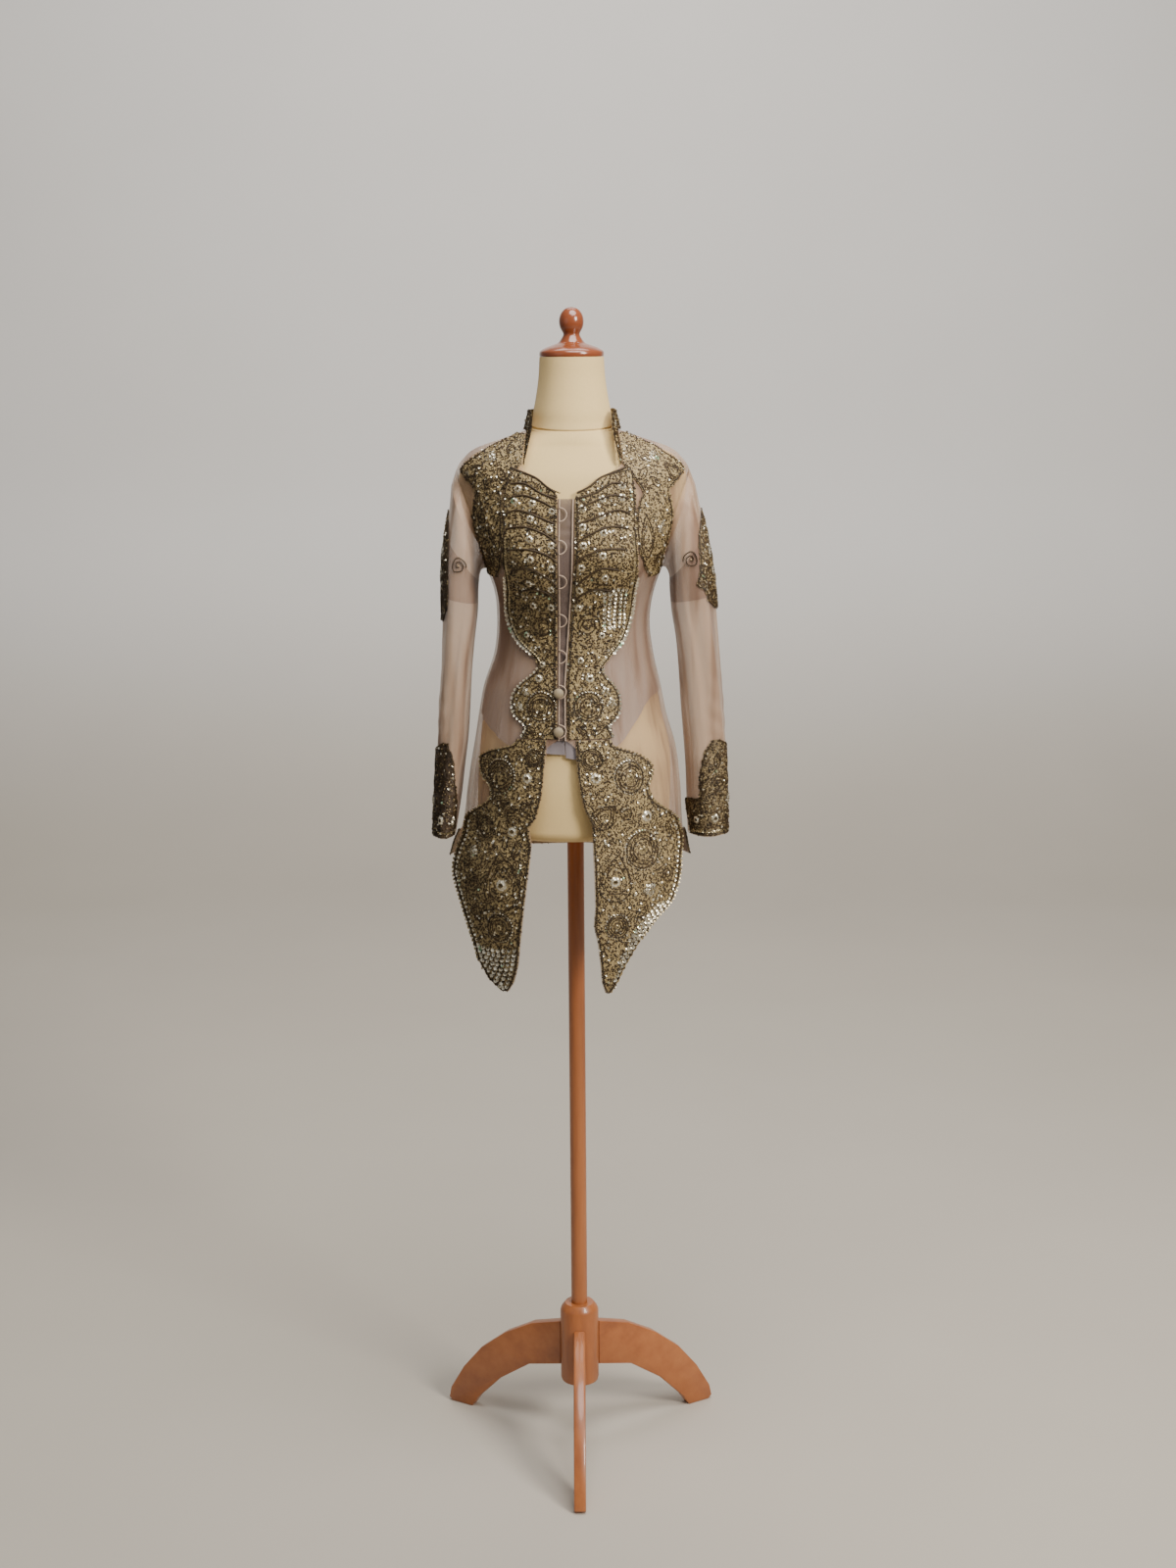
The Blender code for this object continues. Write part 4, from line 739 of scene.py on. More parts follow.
def tulle(name, alpha, tone, fold_shade_tone):
    """Sheer net: crossed threads with air between them, so what lies behind shows through."""
    shade = Shade(name, Roughness=0.6)
    shade.shader.inputs["Sheen Weight"].default_value = 0.15
    shade.shader.inputs["Sheen Roughness"].default_value = 0.4
    flat = shade.node("ShaderNodeAttribute", {"attribute_name": "cut"}, output="Vector")
    across, along = shade.axis("X", flat), shade.axis("Y", flat)
    one = ((across + along) * 2600.0).sine().size()
    two = ((across - along) * 2600.0).sine().size()
    thread = one.larger(two) ** 5.0
    cloud = shade.noise(16.0, 3.0, shade.stretched(1.0, 1.0, 0.4))
    # Long upright streaks stand for folds. The net is denser there, and its colour darkens towards the
    # second, dark tone, which is painted shade of the folds.
    long = shade.noise(34.0, 2.0, shade.stretched(1.0, 1.0, 0.07), 0.6)
    stops = [(0.47, (0.0, 0.0, 0.0)), (0.66, (1.0, 1.0, 1.0))]
    fold = shade.node("ShaderNodeValToRGB", {"stops": stops}, {0: long})
    colour = shade.blend(tone, fold_shade_tone, fold * 0.85 + cloud * 0.15)
    cover = thread * (0.40 * alpha) + cloud * (0.25 * alpha) + fold * (0.55 * alpha) + 0.48 * alpha
    return shade.set(Base_Color=colour, Alpha=cover, Normal=shade.bump(thread, 0.15, 0.0002))


# The last tone of each net is the painted shade of its folds.
net = tulle("nude_net", 0.50, (0.50, 0.325, 0.205), (0.20, 0.110, 0.064))
sleeve_net = tulle("nude_sleeve_net", 0.70, (0.51, 0.330, 0.200), (0.18, 0.098, 0.056))


def panel(place, angles, heights):
    """One panel of the body; its place in the flat cloth counts 0.125 m to a radian."""
    cut = np.stack([angles * 0.125, heights], axis=-1)
    points = on_body(angles, heights, NET_OUT + creases(angles, heights))
    piece = skin(f"tulle_{place}_net", points, net, cut=cut)
    stand_for(piece, f"tulle_{place}")


def edge_x(edges, heights, which="inner"):
    kept = [edge for edge in edges if getattr(edge, which) is not None]
    return np.interp(heights, [edge.z for edge in kept], [getattr(edge, which) for edge in kept])


for side, edges, name, area in ((-1, RIGHT_FRONT, "right", 0.117), (1, LEFT_FRONT, "left", 0.131)):
    heights = np.concatenate([np.linspace(FRONT_POINT, 1.139, 70), np.linspace(1.142, SHOULDER_SEAM, 90)])
    start = angle_of(edge_x(edges, heights), heights)
    hem = angle_of(edge_x(edges, heights, "outer"), heights)
    end = np.where(heights < SIDE_SLIT, hem, side * (armhole_angle(heights) - SLEEVE_SEAM))
    angles = start[:, None] + (end - start)[:, None] * np.linspace(0.0, 1.0, 70)[::side]
    panel(f"front_{name}", angles, heights[:, None] + 0 * angles)
share = np.linspace(-1.0, 1.0, 150)
fixed = np.linspace(1.052, SHOULDER_SEAM, 110)
upper = math.pi + share * (armhole_angle(fixed) - SLEEVE_SEAM)[:, None]
hem = BACK_HEM - BACK_HEM_DIP * np.cos(share * math.pi / 2)
skirt_heights = hem + (1.048 - hem) * np.linspace(0.0, 1.0, 24)[:, None]
angles = np.concatenate([np.repeat(upper[:1], 24, axis=0), upper])
heights = np.concatenate([skirt_heights, np.repeat(fixed[:, None], 150, axis=1)])
panel("back", angles, heights)


# The sleeves: one long tube of the same net each, set into the armhole and hanging empty, with
# long upright creases and a few slanting ripples where the net drags.
Ring = namedtuple("Ring", "outer_x outer_z inner_x inner_z depth forward")
RingAt = namedtuple("RingAt", ("at", *Ring._fields))
RIGHT_SLEEVE = (
    Ring(0.1760, 1.4980, 0.1335, 1.3745, 0.0555, 0.000),
    Ring(0.1795, 1.4640, 0.1360, 1.3695, 0.0590, 0.001),
    Ring(0.1855, 1.4280, 0.1375, 1.3610, 0.0600, 0.001),
    Ring(0.1900, 1.3900, 0.1385, 1.3490, 0.0595, 0.001),
    Ring(0.1910, 1.3500, 0.1390, 1.3330, 0.0585, 0.002),
    Ring(0.1915, 1.3100, 0.1405, 1.3100, 0.0575, 0.002),
    Ring(0.1935, 1.2700, 0.1460, 1.2700, 0.0560, 0.003),
    Ring(0.1960, 1.2250, 0.1510, 1.2250, 0.0535, 0.003),
    Ring(0.2010, 1.1750, 0.1545, 1.1750, 0.0505, 0.004),
    Ring(0.2035, 1.1300, 0.1580, 1.1300, 0.0480, 0.004),
    Ring(0.2060, 1.0850, 0.1640, 1.0850, 0.0455, 0.005),
    Ring(0.2080, 1.0450, 0.1690, 1.0450, 0.0435, 0.006),
    Ring(0.2095, 1.0100, 0.1745, 1.0100, 0.0425, 0.006),
    Ring(0.2105, 0.9820, 0.1790, 0.9820, 0.0420, 0.006),
)
LEFT_SLEEVE = (
    Ring(0.1775, 1.4980, 0.1345, 1.3760, 0.0555, 0.000),
    Ring(0.1850, 1.4640, 0.1375, 1.3710, 0.0590, 0.001),
    Ring(0.1935, 1.4280, 0.1400, 1.3620, 0.0600, 0.001),
    Ring(0.2000, 1.3900, 0.1400, 1.3490, 0.0590, 0.001),
    Ring(0.2050, 1.3500, 0.1405, 1.3330, 0.0575, 0.002),
    Ring(0.2085, 1.3100, 0.1430, 1.3100, 0.0560, 0.002),
    Ring(0.2120, 1.2700, 0.1500, 1.2700, 0.0540, 0.003),
    Ring(0.2160, 1.2250, 0.1545, 1.2250, 0.0515, 0.003),
    Ring(0.2205, 1.1750, 0.1580, 1.1750, 0.0485, 0.004),
    Ring(0.2235, 1.1300, 0.1620, 1.1300, 0.0460, 0.004),
    Ring(0.2250, 1.0850, 0.1655, 1.0850, 0.0435, 0.005),
    Ring(0.2255, 1.0450, 0.1670, 1.0450, 0.0420, 0.006),
    Ring(0.2255, 1.0100, 0.1680, 1.0100, 0.0410, 0.006),
    Ring(0.2250, 0.9820, 0.1690, 0.9820, 0.0405, 0.006),
)


def sleeve_points(rings, side, positions, turns, out):
    """Points on a sleeve: positions count down its rings, turns go from outward to the front."""
    positions, turns = np.broadcast_arrays(np.asarray(positions, float), np.asarray(turns, float))
    down = np.clip(positions, 0.0, len(rings) - 1)
    numbered = [RingAt(number, *ring) for number, ring in enumerate(rings)]
    read = {key: smooth_column(numbered, key, down) for key in Ring._fields}
    across_x = (read["outer_x"] - read["inner_x"]) / 2
    across_z = (read["outer_z"] - read["inner_z"]) / 2
    fold = 0.0022 * smooth_step(1.5, 5.0, down) * np.sin(5 * turns + 0.45 * down)
    crease = 0.0013 * smooth_step(0.5, 4.0, down) * np.abs(np.sin(3.5 * turns + 0.25 * down)) ** 8
    drag = smooth_step(6.0, 8.0, down) * smooth_step(-0.2, 0.8, np.cos(turns))
    ripple = 0.0007 * drag * np.sin(9 * down + 4 * turns)
    grow = 1.0 + (fold + crease + ripple) / read["depth"]
    reach = np.sign(np.cos(turns)) * np.abs(np.cos(turns)) ** 0.85
    x = side * ((read["outer_x"] + read["inner_x"]) / 2 + across_x * reach * grow)
    y = -(read["depth"] * grow * np.sin(turns) + read["forward"])
    z = (read["outer_z"] + read["inner_z"]) / 2 + across_z * reach
    length = np.hypot(across_x, across_z)
    tilt = reach * read["depth"] / length**2
    lift = np.stack([side * across_x * tilt, -np.sin(turns) + 0 * tilt, across_z * tilt], axis=-1)
    lift /= np.linalg.norm(lift, axis=-1, keepdims=True)
    hanging = np.stack([x, y, z], axis=-1) + np.asarray(out, float)[..., None] * lift
    middle = (ARMHOLE_TOP + ARMHOLE_BOTTOM) / 2
    tall = (ARMHOLE_TOP - ARMHOLE_BOTTOM) / 2
    at = np.minimum(armhole_angle(middle + tall * np.cos(turns)) + 0.0045, math.pi / 2)
    at = np.where(np.sin(turns) < 0, math.pi - at, at)
    seam = on_body(side * at, middle + (tall - 0.0005) * np.cos(turns), out + 0 * at, False)
    share = 0.5 * (smooth_step(-1.0, 0.0, positions) + np.clip(positions + 1.0, 0.0, 1.0))[..., None]
    return seam * (1 - share) + hanging * share


def sleeve_cut(turns, positions):
    """Places in the flat cloth: 0.055 m to a radian round, 0.040 m from ring to ring."""
    return np.stack([turns * 0.055 + 0 * positions, -positions * 0.040 + 0 * turns], axis=-1)


for side, rings, name, area in ((-1, RIGHT_SLEEVE, "right", 0.120), (1, LEFT_SLEEVE, "left", 0.128)):
    turns = np.linspace(-math.pi, math.pi, 121)[:-1][::side]
    positions = np.concatenate([np.linspace(-1.0, 0.0, 10)[:-1], np.linspace(0.0, 13.0, 150)])[:, None]
    points = sleeve_points(rings, side, positions, turns + 0 * positions, NET_OUT + 0 * turns)
    piece = skin(f"sleeve_{name}_net", points, sleeve_net, closed=True, cut=sleeve_cut(turns, positions))
    stand_for(piece, f"sleeve_{name}")


# The underlap: a strip of doubled mauve net sewn behind both front edges, so that no skin shows
# through the gap that the loops leave.
EDGE_GAP = 0.0003
CLOSURE_LOW = 1.1385
CLOSURE_HIGH = 1.4835
UNDERLAP_REACH = 0.004


# Its mauve is much darker than the lining's: partly its own colour, partly painted shade of the narrow gap
# between the front edges.
mauve = tulle("mauve_net_with_gap_shade", 0.94, (0.135, 0.092, 0.073), (0.075, 0.050, 0.040))
heights = np.linspace(CLOSURE_LOW, CLOSURE_HIGH, 90)
left = angle_of(edge_x(RIGHT_FRONT, heights) - UNDERLAP_REACH, heights)
right = angle_of(edge_x(LEFT_FRONT, heights) + UNDERLAP_REACH, heights)
angles = left[:, None] + (right - left)[:, None] * np.linspace(0, 1, 14)
sag = 0.0005 * np.sin(260 * heights[:, None] + 3 * np.sin(70 * heights[:, None])) - 0.0019
cut = np.stack([angles * 0.11, heights[:, None] + 0 * angles], axis=-1)
piece = skin("underlap_net", on_body(angles, heights[:, None] + 0 * angles, sag + 0 * angles), mauve, cut=cut)
stand_for(piece, "underlap")


# The piping: a bias strip of nude satin round a cord, sewn along both front edges, whose slanting
# twist shows as fine ribs.
PIPING_WIDE = 0.0020
PIPING_OUT = 0.0012
PIPING_RADIUS = 0.00115


def unit(vectors):
    return vectors / np.maximum(np.linalg.norm(vectors, axis=-1, keepdims=True), 1e-12)


def tube(spots, away, radius, sides):
    """Rings of points round a line, the first of them beside it."""
    ahead = unit(np.gradient(spots, axis=0))
    beside = unit(np.cross(away, ahead))
    lift = np.cross(ahead, beside)
    turns = np.arange(sides)[:, None] / sides * 2 * math.pi
    return spots[:, None] + radius * (np.cos(turns) * beside[:, None] + np.sin(turns) * lift[:, None])


def satin_cord():
    shade = Shade("nude_satin_cord", Roughness=0.36)
    shade.shader.inputs["Sheen Weight"].default_value = 0.25
    ribs = ((shade.axis("X") + shade.axis("Z")) * 3300.0).sine() * 0.5 + 0.5
    # The tone runs with the ribs and is darker in the grooves between them: painted shade.
    tone = shade.blend((0.34, 0.24, 0.165), (0.50, 0.37, 0.27), ribs)
    tone = shade.blend(tone, (0.22, 0.15, 0.10), shade.noise(120.0) * 0.5)
    return shade.set(Base_Color=tone, Normal=shade.bump(ribs, 0.35, 0.0004))


cord_satin = satin_cord()
heights = np.linspace(CLOSURE_LOW, CLOSURE_HIGH, 200)
for side, edges, name in ((-1, RIGHT_FRONT, "right"), (1, LEFT_FRONT, "left")):
    x = edge_x(edges, heights) - side * (EDGE_GAP + PIPING_WIDE / 2)
    spots = on_body(angle_of(x, heights), heights, 0 * heights)
    away = on_body(angle_of(x, heights), heights, 0 * heights + 0.001) - spots
    piece = skin(f"piping_{name}_cord", tube(spots, unit(away), PIPING_RADIUS, 10), cord_satin, closed=True)
    stand_for(piece, f"piping_{name}")


# The loops: thin rouleau cord, each end caught under the piping on the wearer's right, lying out
# over the underlap to go round a ball button.
LOOP_HEIGHTS = (1.4615, 1.4165, 1.3680, 1.3105, 1.2580, 1.2080, 1.1520)
LOOP_REACH = 0.0105
LOOP_HALF_TALL = 0.0095
LOOP_CORD = 0.0009

for number, height in enumerate(LOOP_HEIGHTS, 1):
    start = float(edge_x(RIGHT_FRONT, height)) + EDGE_GAP + PIPING_WIDE / 2
    turns = np.linspace(-math.pi / 2, math.pi / 2, 33)
    x = start + LOOP_REACH * np.cos(turns)
    heights = height + LOOP_HALF_TALL * np.sin(turns)
    out = PIPING_OUT + LOOP_CORD + EDGE_GAP + 0 * turns
    spots = on_body(angle_of(x, heights), heights, out)
    away = on_body(angle_of(x, heights), heights, out + 0.001) - spots
    piece = skin(f"loop_{number}_cord", tube(spots, unit(away), LOOP_CORD, 8), cord_satin, closed=True)
    stand_for(piece, f"loop_{number}")


# The buttons: domed moulds covered in khaki-nude cloth, drawn into small pleats at the back, each
# through the loop beside it.
BUTTON_HEIGHTS = (1.2060, 1.1510)
BUTTON_RADIUS = 0.0074
BUTTON_THICK = 0.0085
BUTTON_LOW = math.radians(-58.0)
BUTTON_SET = 0.0015
BUTTON_SEAT = 0.0027


def button_cloth():
    shade = Shade("button_cloth", Roughness=0.5)
    shade.shader.inputs["Sheen Weight"].default_value = 0.3
    weave = (shade.axis("X") * 4200.0).sine() * (shade.axis("Z") * 4200.0).sine()
    tone = shade.blend((0.30, 0.235, 0.14), (0.215, 0.165, 0.095), shade.noise(240.0, 2.0))
    return shade.set(Base_Color=tone, Normal=shade.bump(weave, 0.3, 0.0003))


covered = button_cloth()
for number, height in enumerate(BUTTON_HEIGHTS, 1):
    slopes = np.linspace(BUTTON_LOW, math.radians(89.5), 22)[:, None]
    turns = np.arange(40) / 40 * 2 * math.pi
    pleat = 1 - 0.03 * np.abs(np.sin(6 * turns)) * smooth_step(0.5, -0.6, slopes)
    reach = BUTTON_RADIUS * np.cos(slopes) * pleat
    lift = BUTTON_THICK / 2 * np.sin(slopes) + 0 * turns
    dome = np.stack([reach * np.cos(turns), -lift, reach * np.sin(turns)], axis=-1)
    x = float(edge_x(RIGHT_FRONT, height)) + BUTTON_SET
    out = BUTTON_SEAT - BUTTON_THICK / 2 * math.sin(BUTTON_LOW)
    points = np.concatenate([dome[:1] * (0.05, 1.0, 0.05), dome]) + on_body(angle_of(x, height), height, out)
    piece = skin(f"button_{number}_ball", points, covered, closed=True)
    stand_for(piece, f"button_{number}")


# The bust lace: a panel of net on each front, closely sewn with glass beads. Padded bands run
# between dark cords, with a flower in each, and a rope of slanting beads binds the edges.
Lace = namedtuple("Lace", "z inner outer rise", defaults=(0.0,))
RIGHT_BUST = (
    Lace(1.4885, -0.0212, -0.0860, 0.0360),
    Lace(1.4500, -0.0222, -0.0965, 0.0350),
    Lace(1.4000, -0.0225, -0.0955, 0.0300),
    Lace(1.3500, -0.0228, -0.0905, 0.0230),
    Lace(1.3120, -0.0230, -0.0950, 0.0110),
    Lace(1.2860, -0.0234, -0.0850, 0.0010),
    Lace(1.2620, -0.0238, -0.0580, -0.0020),
    Lace(1.2440, -0.0240, -0.0490, 0.0000),
)
LEFT_BUST = (
    Lace(1.4870, 0.0040, 0.0830, 0.0385),
    Lace(1.4500, 0.0034, 0.0880, 0.0360),
    Lace(1.4000, 0.0028, 0.0870, 0.0300),
    Lace(1.3500, -0.0008, 0.0840, 0.0230),
    Lace(1.3120, -0.0035, 0.0825, 0.0110),
    Lace(1.2860, -0.0055, 0.0735, 0.0010),
    Lace(1.2620, -0.0072, 0.0545, -0.0020),
    Lace(1.2440, -0.0086, 0.0420, 0.0000),
)
RIGHT_CORDS = (
    ((-0.0165, 1.4904), (-0.0357, 1.4999), (-0.0537, 1.5132), (-0.0885, 1.5263)),
    ((-0.0165, 1.4831), (-0.0427, 1.4904), (-0.0662, 1.5038), (-0.0871, 1.5035)),
    ((-0.0173, 1.4676), (-0.0428, 1.4797), (-0.0690, 1.4880), (-0.0914, 1.4825)),
    ((-0.0189, 1.4474), (-0.0451, 1.4573), (-0.0748, 1.4672), (-0.0944, 1.4614)),
    ((-0.0170, 1.4217), (-0.0376, 1.4339), (-0.0666, 1.4444), (-0.0932, 1.4409)),
    ((-0.0172, 1.3949), (-0.0350, 1.4055), (-0.0612, 1.4135), (-0.0879, 1.4123)),
    ((-0.0176, 1.3622), (-0.0382, 1.3761), (-0.0588, 1.3872), (-0.0808, 1.3828)),
    ((-0.0180, 1.3346), (-0.0276, 1.3456), (-0.0490, 1.3570), (-0.0738, 1.3524)),
)
LEFT_CORDS = (
    ((0.0055, 1.4903), (0.0242, 1.4995), (0.0422, 1.5127), (0.0770, 1.5254)),
    ((0.0048, 1.4829), (0.0310, 1.4900), (0.0546, 1.5031), (0.0753, 1.5026)),
    ((0.0054, 1.4675), (0.0309, 1.4793), (0.0572, 1.4873), (0.0793, 1.4816)),
    ((0.0059, 1.4472), (0.0323, 1.4569), (0.0619, 1.4666), (0.0813, 1.4606)),
    ((0.0030, 1.4215), (0.0237, 1.4336), (0.0527, 1.4439), (0.0790, 1.4404)),
    ((0.0014, 1.3947), (0.0194, 1.4050), (0.0456, 1.4131), (0.0719, 1.4123)),
    ((-0.0003, 1.3620), (0.0206, 1.3756), (0.0413, 1.3869), (0.0628, 1.3834)),
    ((-0.0013, 1.3345), (0.0085, 1.3454), (0.0301, 1.3568), (0.0545, 1.3532)),
)
RIGHT_FLOWERS = (
    (-0.0280, 1.4663), (-0.0320, 1.4406), (-0.0294, 1.4190), (-0.0297, 1.3874), (-0.0302, 1.3573),
    (-0.0306, 1.3303), (-0.0557, 1.4769), (-0.0584, 1.4559), (-0.0586, 1.4276), (-0.0562, 1.4003),
    (-0.0581, 1.3661), (-0.0550, 1.3323), (-0.0809, 1.4801), (-0.0754, 1.4969),
)
LEFT_FLOWERS = (
    (0.0142, 1.4701), (0.0140, 1.4445), (0.0152, 1.4187), (0.0124, 1.3883), (0.0095, 1.3555),
    (0.0079, 1.3295), (0.0420, 1.4825), (0.0406, 1.4593), (0.0430, 1.4360), (0.0414, 1.4049),
    (0.0439, 1.3741), (0.0699, 1.5001), (0.0698, 1.4844),
)
LACE_OUT = 0.0010
SCALLOP_LONG = 0.0105
BAND_RISE = 0.0012


def dot(first, second):
    return np.sum(first * second, axis=-1)


def bead_stuffs():
    """Finishes of what is sewn on: dark glass, khaki glass, silver and khaki sequins, cord."""
    finishes = (
        ("dark_glass_beads", (0.016, 0.010, 0.005), (0.065, 0.038, 0.015), 0.36, 0.0, 260.0),
        ("khaki_glass_beads", (0.170, 0.120, 0.050), (0.470, 0.350, 0.165), 0.30, 0.20, 420.0),
        ("silver_sequins", (0.800, 0.750, 0.610), (0.360, 0.300, 0.190), 0.22, 0.55, 420.0),
        ("khaki_sequins", (0.480, 0.390, 0.220), (0.200, 0.150, 0.070), 0.26, 0.50, 240.0),
        ("dark_silk_cord", (0.060, 0.038, 0.018), (0.028, 0.017, 0.008), 0.60, 0.0, 700.0),
    )
    stuffs = []
    for name, first, second, roughness, metallic, scale in finishes:
        shade = Shade(name, Roughness=roughness, Metallic=metallic)
        shade.shader.inputs["Specular IOR Level"].default_value = 0.25 if metallic == 0.0 else 0.5
        colour = shade.cells(scale, output="Color")
        share = shade.node("ShaderNodeSeparateColor", sockets={0: colour})
        tone = shade.blend(first, second, share)
        if name == "silver_sequins":
            glint = shade.noise(70.0, 0.0).above(0.74)
            tone = shade.blend(tone, (0.16, 0.50, 0.26), glint * 0.55)
        stuffs.append(shade.set(Base_Color=tone, Normal=shade.bump(shade.noise(1400.0, 1.0), 0.15, 0.0002)))
    return stuffs


DARK, KHAKI, SILVER, DULL, SILK = range(5)
STUFFS = bead_stuffs()
REACH = 0.003
GOLDEN_TURN = 2.39996
SHINE_FROM = 0.965
RICE_FACES = np.array([(0, 2, 1), (0, 3, 2), (4, 1, 2), (4, 2, 3)])
SEQUIN_FACES = np.array([(0, rim + 1, (rim + 1) % 6 + 1) for rim in range(6)])


def full_turns(count):
    return np.arange(count) / count * 2 * math.pi


class Beadwork:
    """Beads, sequins and cords sewn on one piece of lace and gathered into a single mesh.

    lay(a, b, out) gives points of the lace from two places along it and the height over it.
    """

    def __init__(self, lay, seed, dark=0.66):
        self.lay = lay
        self.chance = np.random.default_rng(seed)
        self.dark = dark
        self.points, self.faces, self.stuffs = [], [], []
        self.count = 0
        self.rings, self.hearts = [], []

    def axes(self, a, b, out=0.0):
        """The spot, the ways across, up and out of the cloth, and how far a and b carry."""
        a, b = np.broadcast_arrays(np.asarray(a, float), np.asarray(b, float))
        out = out + 0 * a
        spot = self.lay(a, b, out)
        pull_a = (self.lay(a + REACH, b, out) - self.lay(a - REACH, b, out)) / (2 * REACH)
        pull_b = (self.lay(a, b + REACH, out) - self.lay(a, b - REACH, out)) / (2 * REACH)
        away = unit(self.lay(a, b, out + 0.001) - spot)
        across = unit(pull_a - away * dot(pull_a, away)[..., None])
        return spot, across, np.cross(away, across), away, pull_a, pull_b

    def beside(self, a, b, across_by, up_by):
        """The places so many metres across and up the cloth from others."""
        _, across, up, _, pull_a, pull_b = self.axes(a, b)
        aa, au = dot(pull_a, across), dot(pull_a, up)
        ba, bu = dot(pull_b, across), dot(pull_b, up)
        whole = aa * bu - au * ba
        return a + (across_by * bu - up_by * ba) / whole, b + (up_by * aa - across_by * au) / whole

    def around(self, a, b, across_by, up_by, turn=0.0):
        """Places given in metres about one place, as a shape turned on the cloth."""
        x, y = np.asarray(across_by, float), np.asarray(up_by, float)
        cos, sin = math.cos(turn), math.sin(turn)
        return self.beside(a, b, x * cos - y * sin, x * sin + y * cos)

    def add(self, corners, faces, stuff):
        points = np.stack(corners, axis=-2).reshape(-1, len(corners), 3)
        many = len(points)
        start = self.count + len(corners) * np.arange(many)[:, None, None]
        self.faces.append((faces[None] + start).reshape(-1, 3))
        self.points.append(points.reshape(-1, 3))
        self.stuffs.append(np.full(many * len(faces), stuff))
        self.count += many * len(corners)

    def rice(self, a, b, turn, long, wide, stuff, out=0.0002):
        """Long beads lying on the cloth, turned from the way across."""
        spot, across, up, away, _, _ = self.axes(a, b, out)
        turn = (np.asarray(turn, float) + 0 * spot[..., 0])[..., None]
        along = across * np.cos(turn) + up * np.sin(turn)
        beside = np.cross(away, along) * wide / 2
        along = along * (np.asarray(long) + 0 * turn[..., 0])[..., None] / 2
        top = spot + away * (0.75 * wide)
        self.add((spot - along, spot + beside, top, spot - beside, spot + along), RICE_FACES, stuff)

    def sequins(self, a, b, radius, stuff, out=0.0012, lean=0.0, lean_turn=0.0):
        """Cupped round sequins, each leaning towards its own turn."""
        spot, across, up, away, _, _ = self.axes(a, b, out)
        turn = (np.asarray(lean_turn, float) + 0 * spot[..., 0])[..., None]
        lean = (np.asarray(lean, float) + 0 * spot[..., 0])[..., None]
        radius = (np.asarray(radius, float) + 0 * spot[..., 0])[..., None]
        facing = unit(away + lean * (across * np.cos(turn) + up * np.sin(turn)))
        first = unit(np.cross(up, facing))
        second = np.cross(facing, first)
        corners = [spot - facing * radius * 0.28]
        for rim in range(6):
            angle = rim * math.pi / 3
            corners.append(spot + (first * math.cos(angle) + second * math.sin(angle)) * radius)
        self.add(corners, SEQUIN_FACES, stuff)

    def route(self, places, space, closed=False):
        """Evenly spaced places along a smooth line through a few of them."""
        places = np.stack([np.ravel(part) for part in places], axis=1)
        if closed:
            places = np.concatenate([places, places[:1]])
        dense = read_line(places, np.linspace(0, len(places) - 1, 16 * len(places)), closed)
        spots = self.lay(dense[:, 0], dense[:, 1], 0 * dense[:, 0])
        run = np.concatenate([[0.0], np.cumsum(np.linalg.norm(np.diff(spots, axis=0), axis=1))])
        count = max(3, int(run[-1] / space))
        at = (np.arange(count) + (0.0 if closed else 0.5)) / count * run[-1]
        return np.interp(at, run, dense[:, 0]), np.interp(at, run, dense[:, 1])

    def heading(self, a, b):
        spot, across, up, _, _, _ = self.axes(a, b)
        ahead = np.gradient(spot, axis=0)
        return np.arctan2(dot(ahead, up), dot(ahead, across))

    def cord(self, places, thick=0.0007, stuff=SILK, closed=False, out=0.0005, sides=5):
        a, b = self.route(places, 0.0030, closed)
        if closed:
            a, b = np.append(a, a[0]), np.append(b, b[0])
        spot, _, _, away, _, _ = self.axes(a, b, out)
        rings = tube(spot, away, thick, sides)
        low = sides * np.arange(len(spot) - 1)[:, None] + np.arange(sides)
        after = sides * np.arange(len(spot) - 1)[:, None] + (np.arange(sides) + 1) % sides
        faces = np.concatenate([
            np.stack([low, after, after + sides], axis=-1).reshape(-1, 3),
            np.stack([low, after + sides, low + sides], axis=-1).reshape(-1, 3),
        ])
        self.add(list(rings.reshape(-1, 3)), faces, stuff)

    def rope(self, places, long=0.0042, slant=0.9, stuff=DARK, closed=False, space=0.0029, under=0.0007):
        """Long beads laid slanting side by side over a cord."""
        self.cord(places, under, SILK, closed)
        a, b = self.route(places, space, closed)
        turn = self.heading(a, b) + slant + self.chance.normal(0, 0.08, a.shape)
        self.rice(a, b, turn, long, 0.0017, stuff, 0.0005 + under)

    def round_places(self, a, b, radius, turns):
        return self.around(a, b, radius * np.cos(turns), radius * np.sin(turns))

    def circle(self, a, b, radius):
        return self.round_places(a, b, radius, full_turns(12))

    def flower(self, a, b, radius, petals=6, stuff=SILVER):
        """Sequin petals leaning out round a dark bead, in a ring of short dark beads."""
        self.hearts.append((a, b, radius))
        turns = full_turns(petals) + self.chance.uniform(0, 1)
        petal = self.round_places(a, b, 0.50 * radius, turns)
        self.sequins(*petal, 0.26 * radius, stuff, 0.0016, 0.45, turns)
        self.rice([a, a], [b, b], [0.0, 1.6], 0.0034, 0.0026, DARK, 0.0016)
        turns = full_turns(13)
        rim = self.round_places(a, b, radius, turns)
        self.rice(*rim, turns + 1.2, 0.0034, 0.0016, DARK, 0.0008)

    def spiral(self, a, b, radius, turns=1.9, start=0.0, hand=1):
        """A rope of beads wound outwards from a khaki bead."""
        share = np.linspace(0.0, 1.0, 24)
        reach = radius * (0.15 + 0.85 * share)
        angle = start + hand * turns * 2 * math.pi * share
        self.rope(self.round_places(a, b, reach, angle), 0.0032, 1.1)
        self.rice([a], [b], 0.0, 0.0028, 0.0026, KHAKI, 0.0010)
        self.rings.append((a, b, radius))

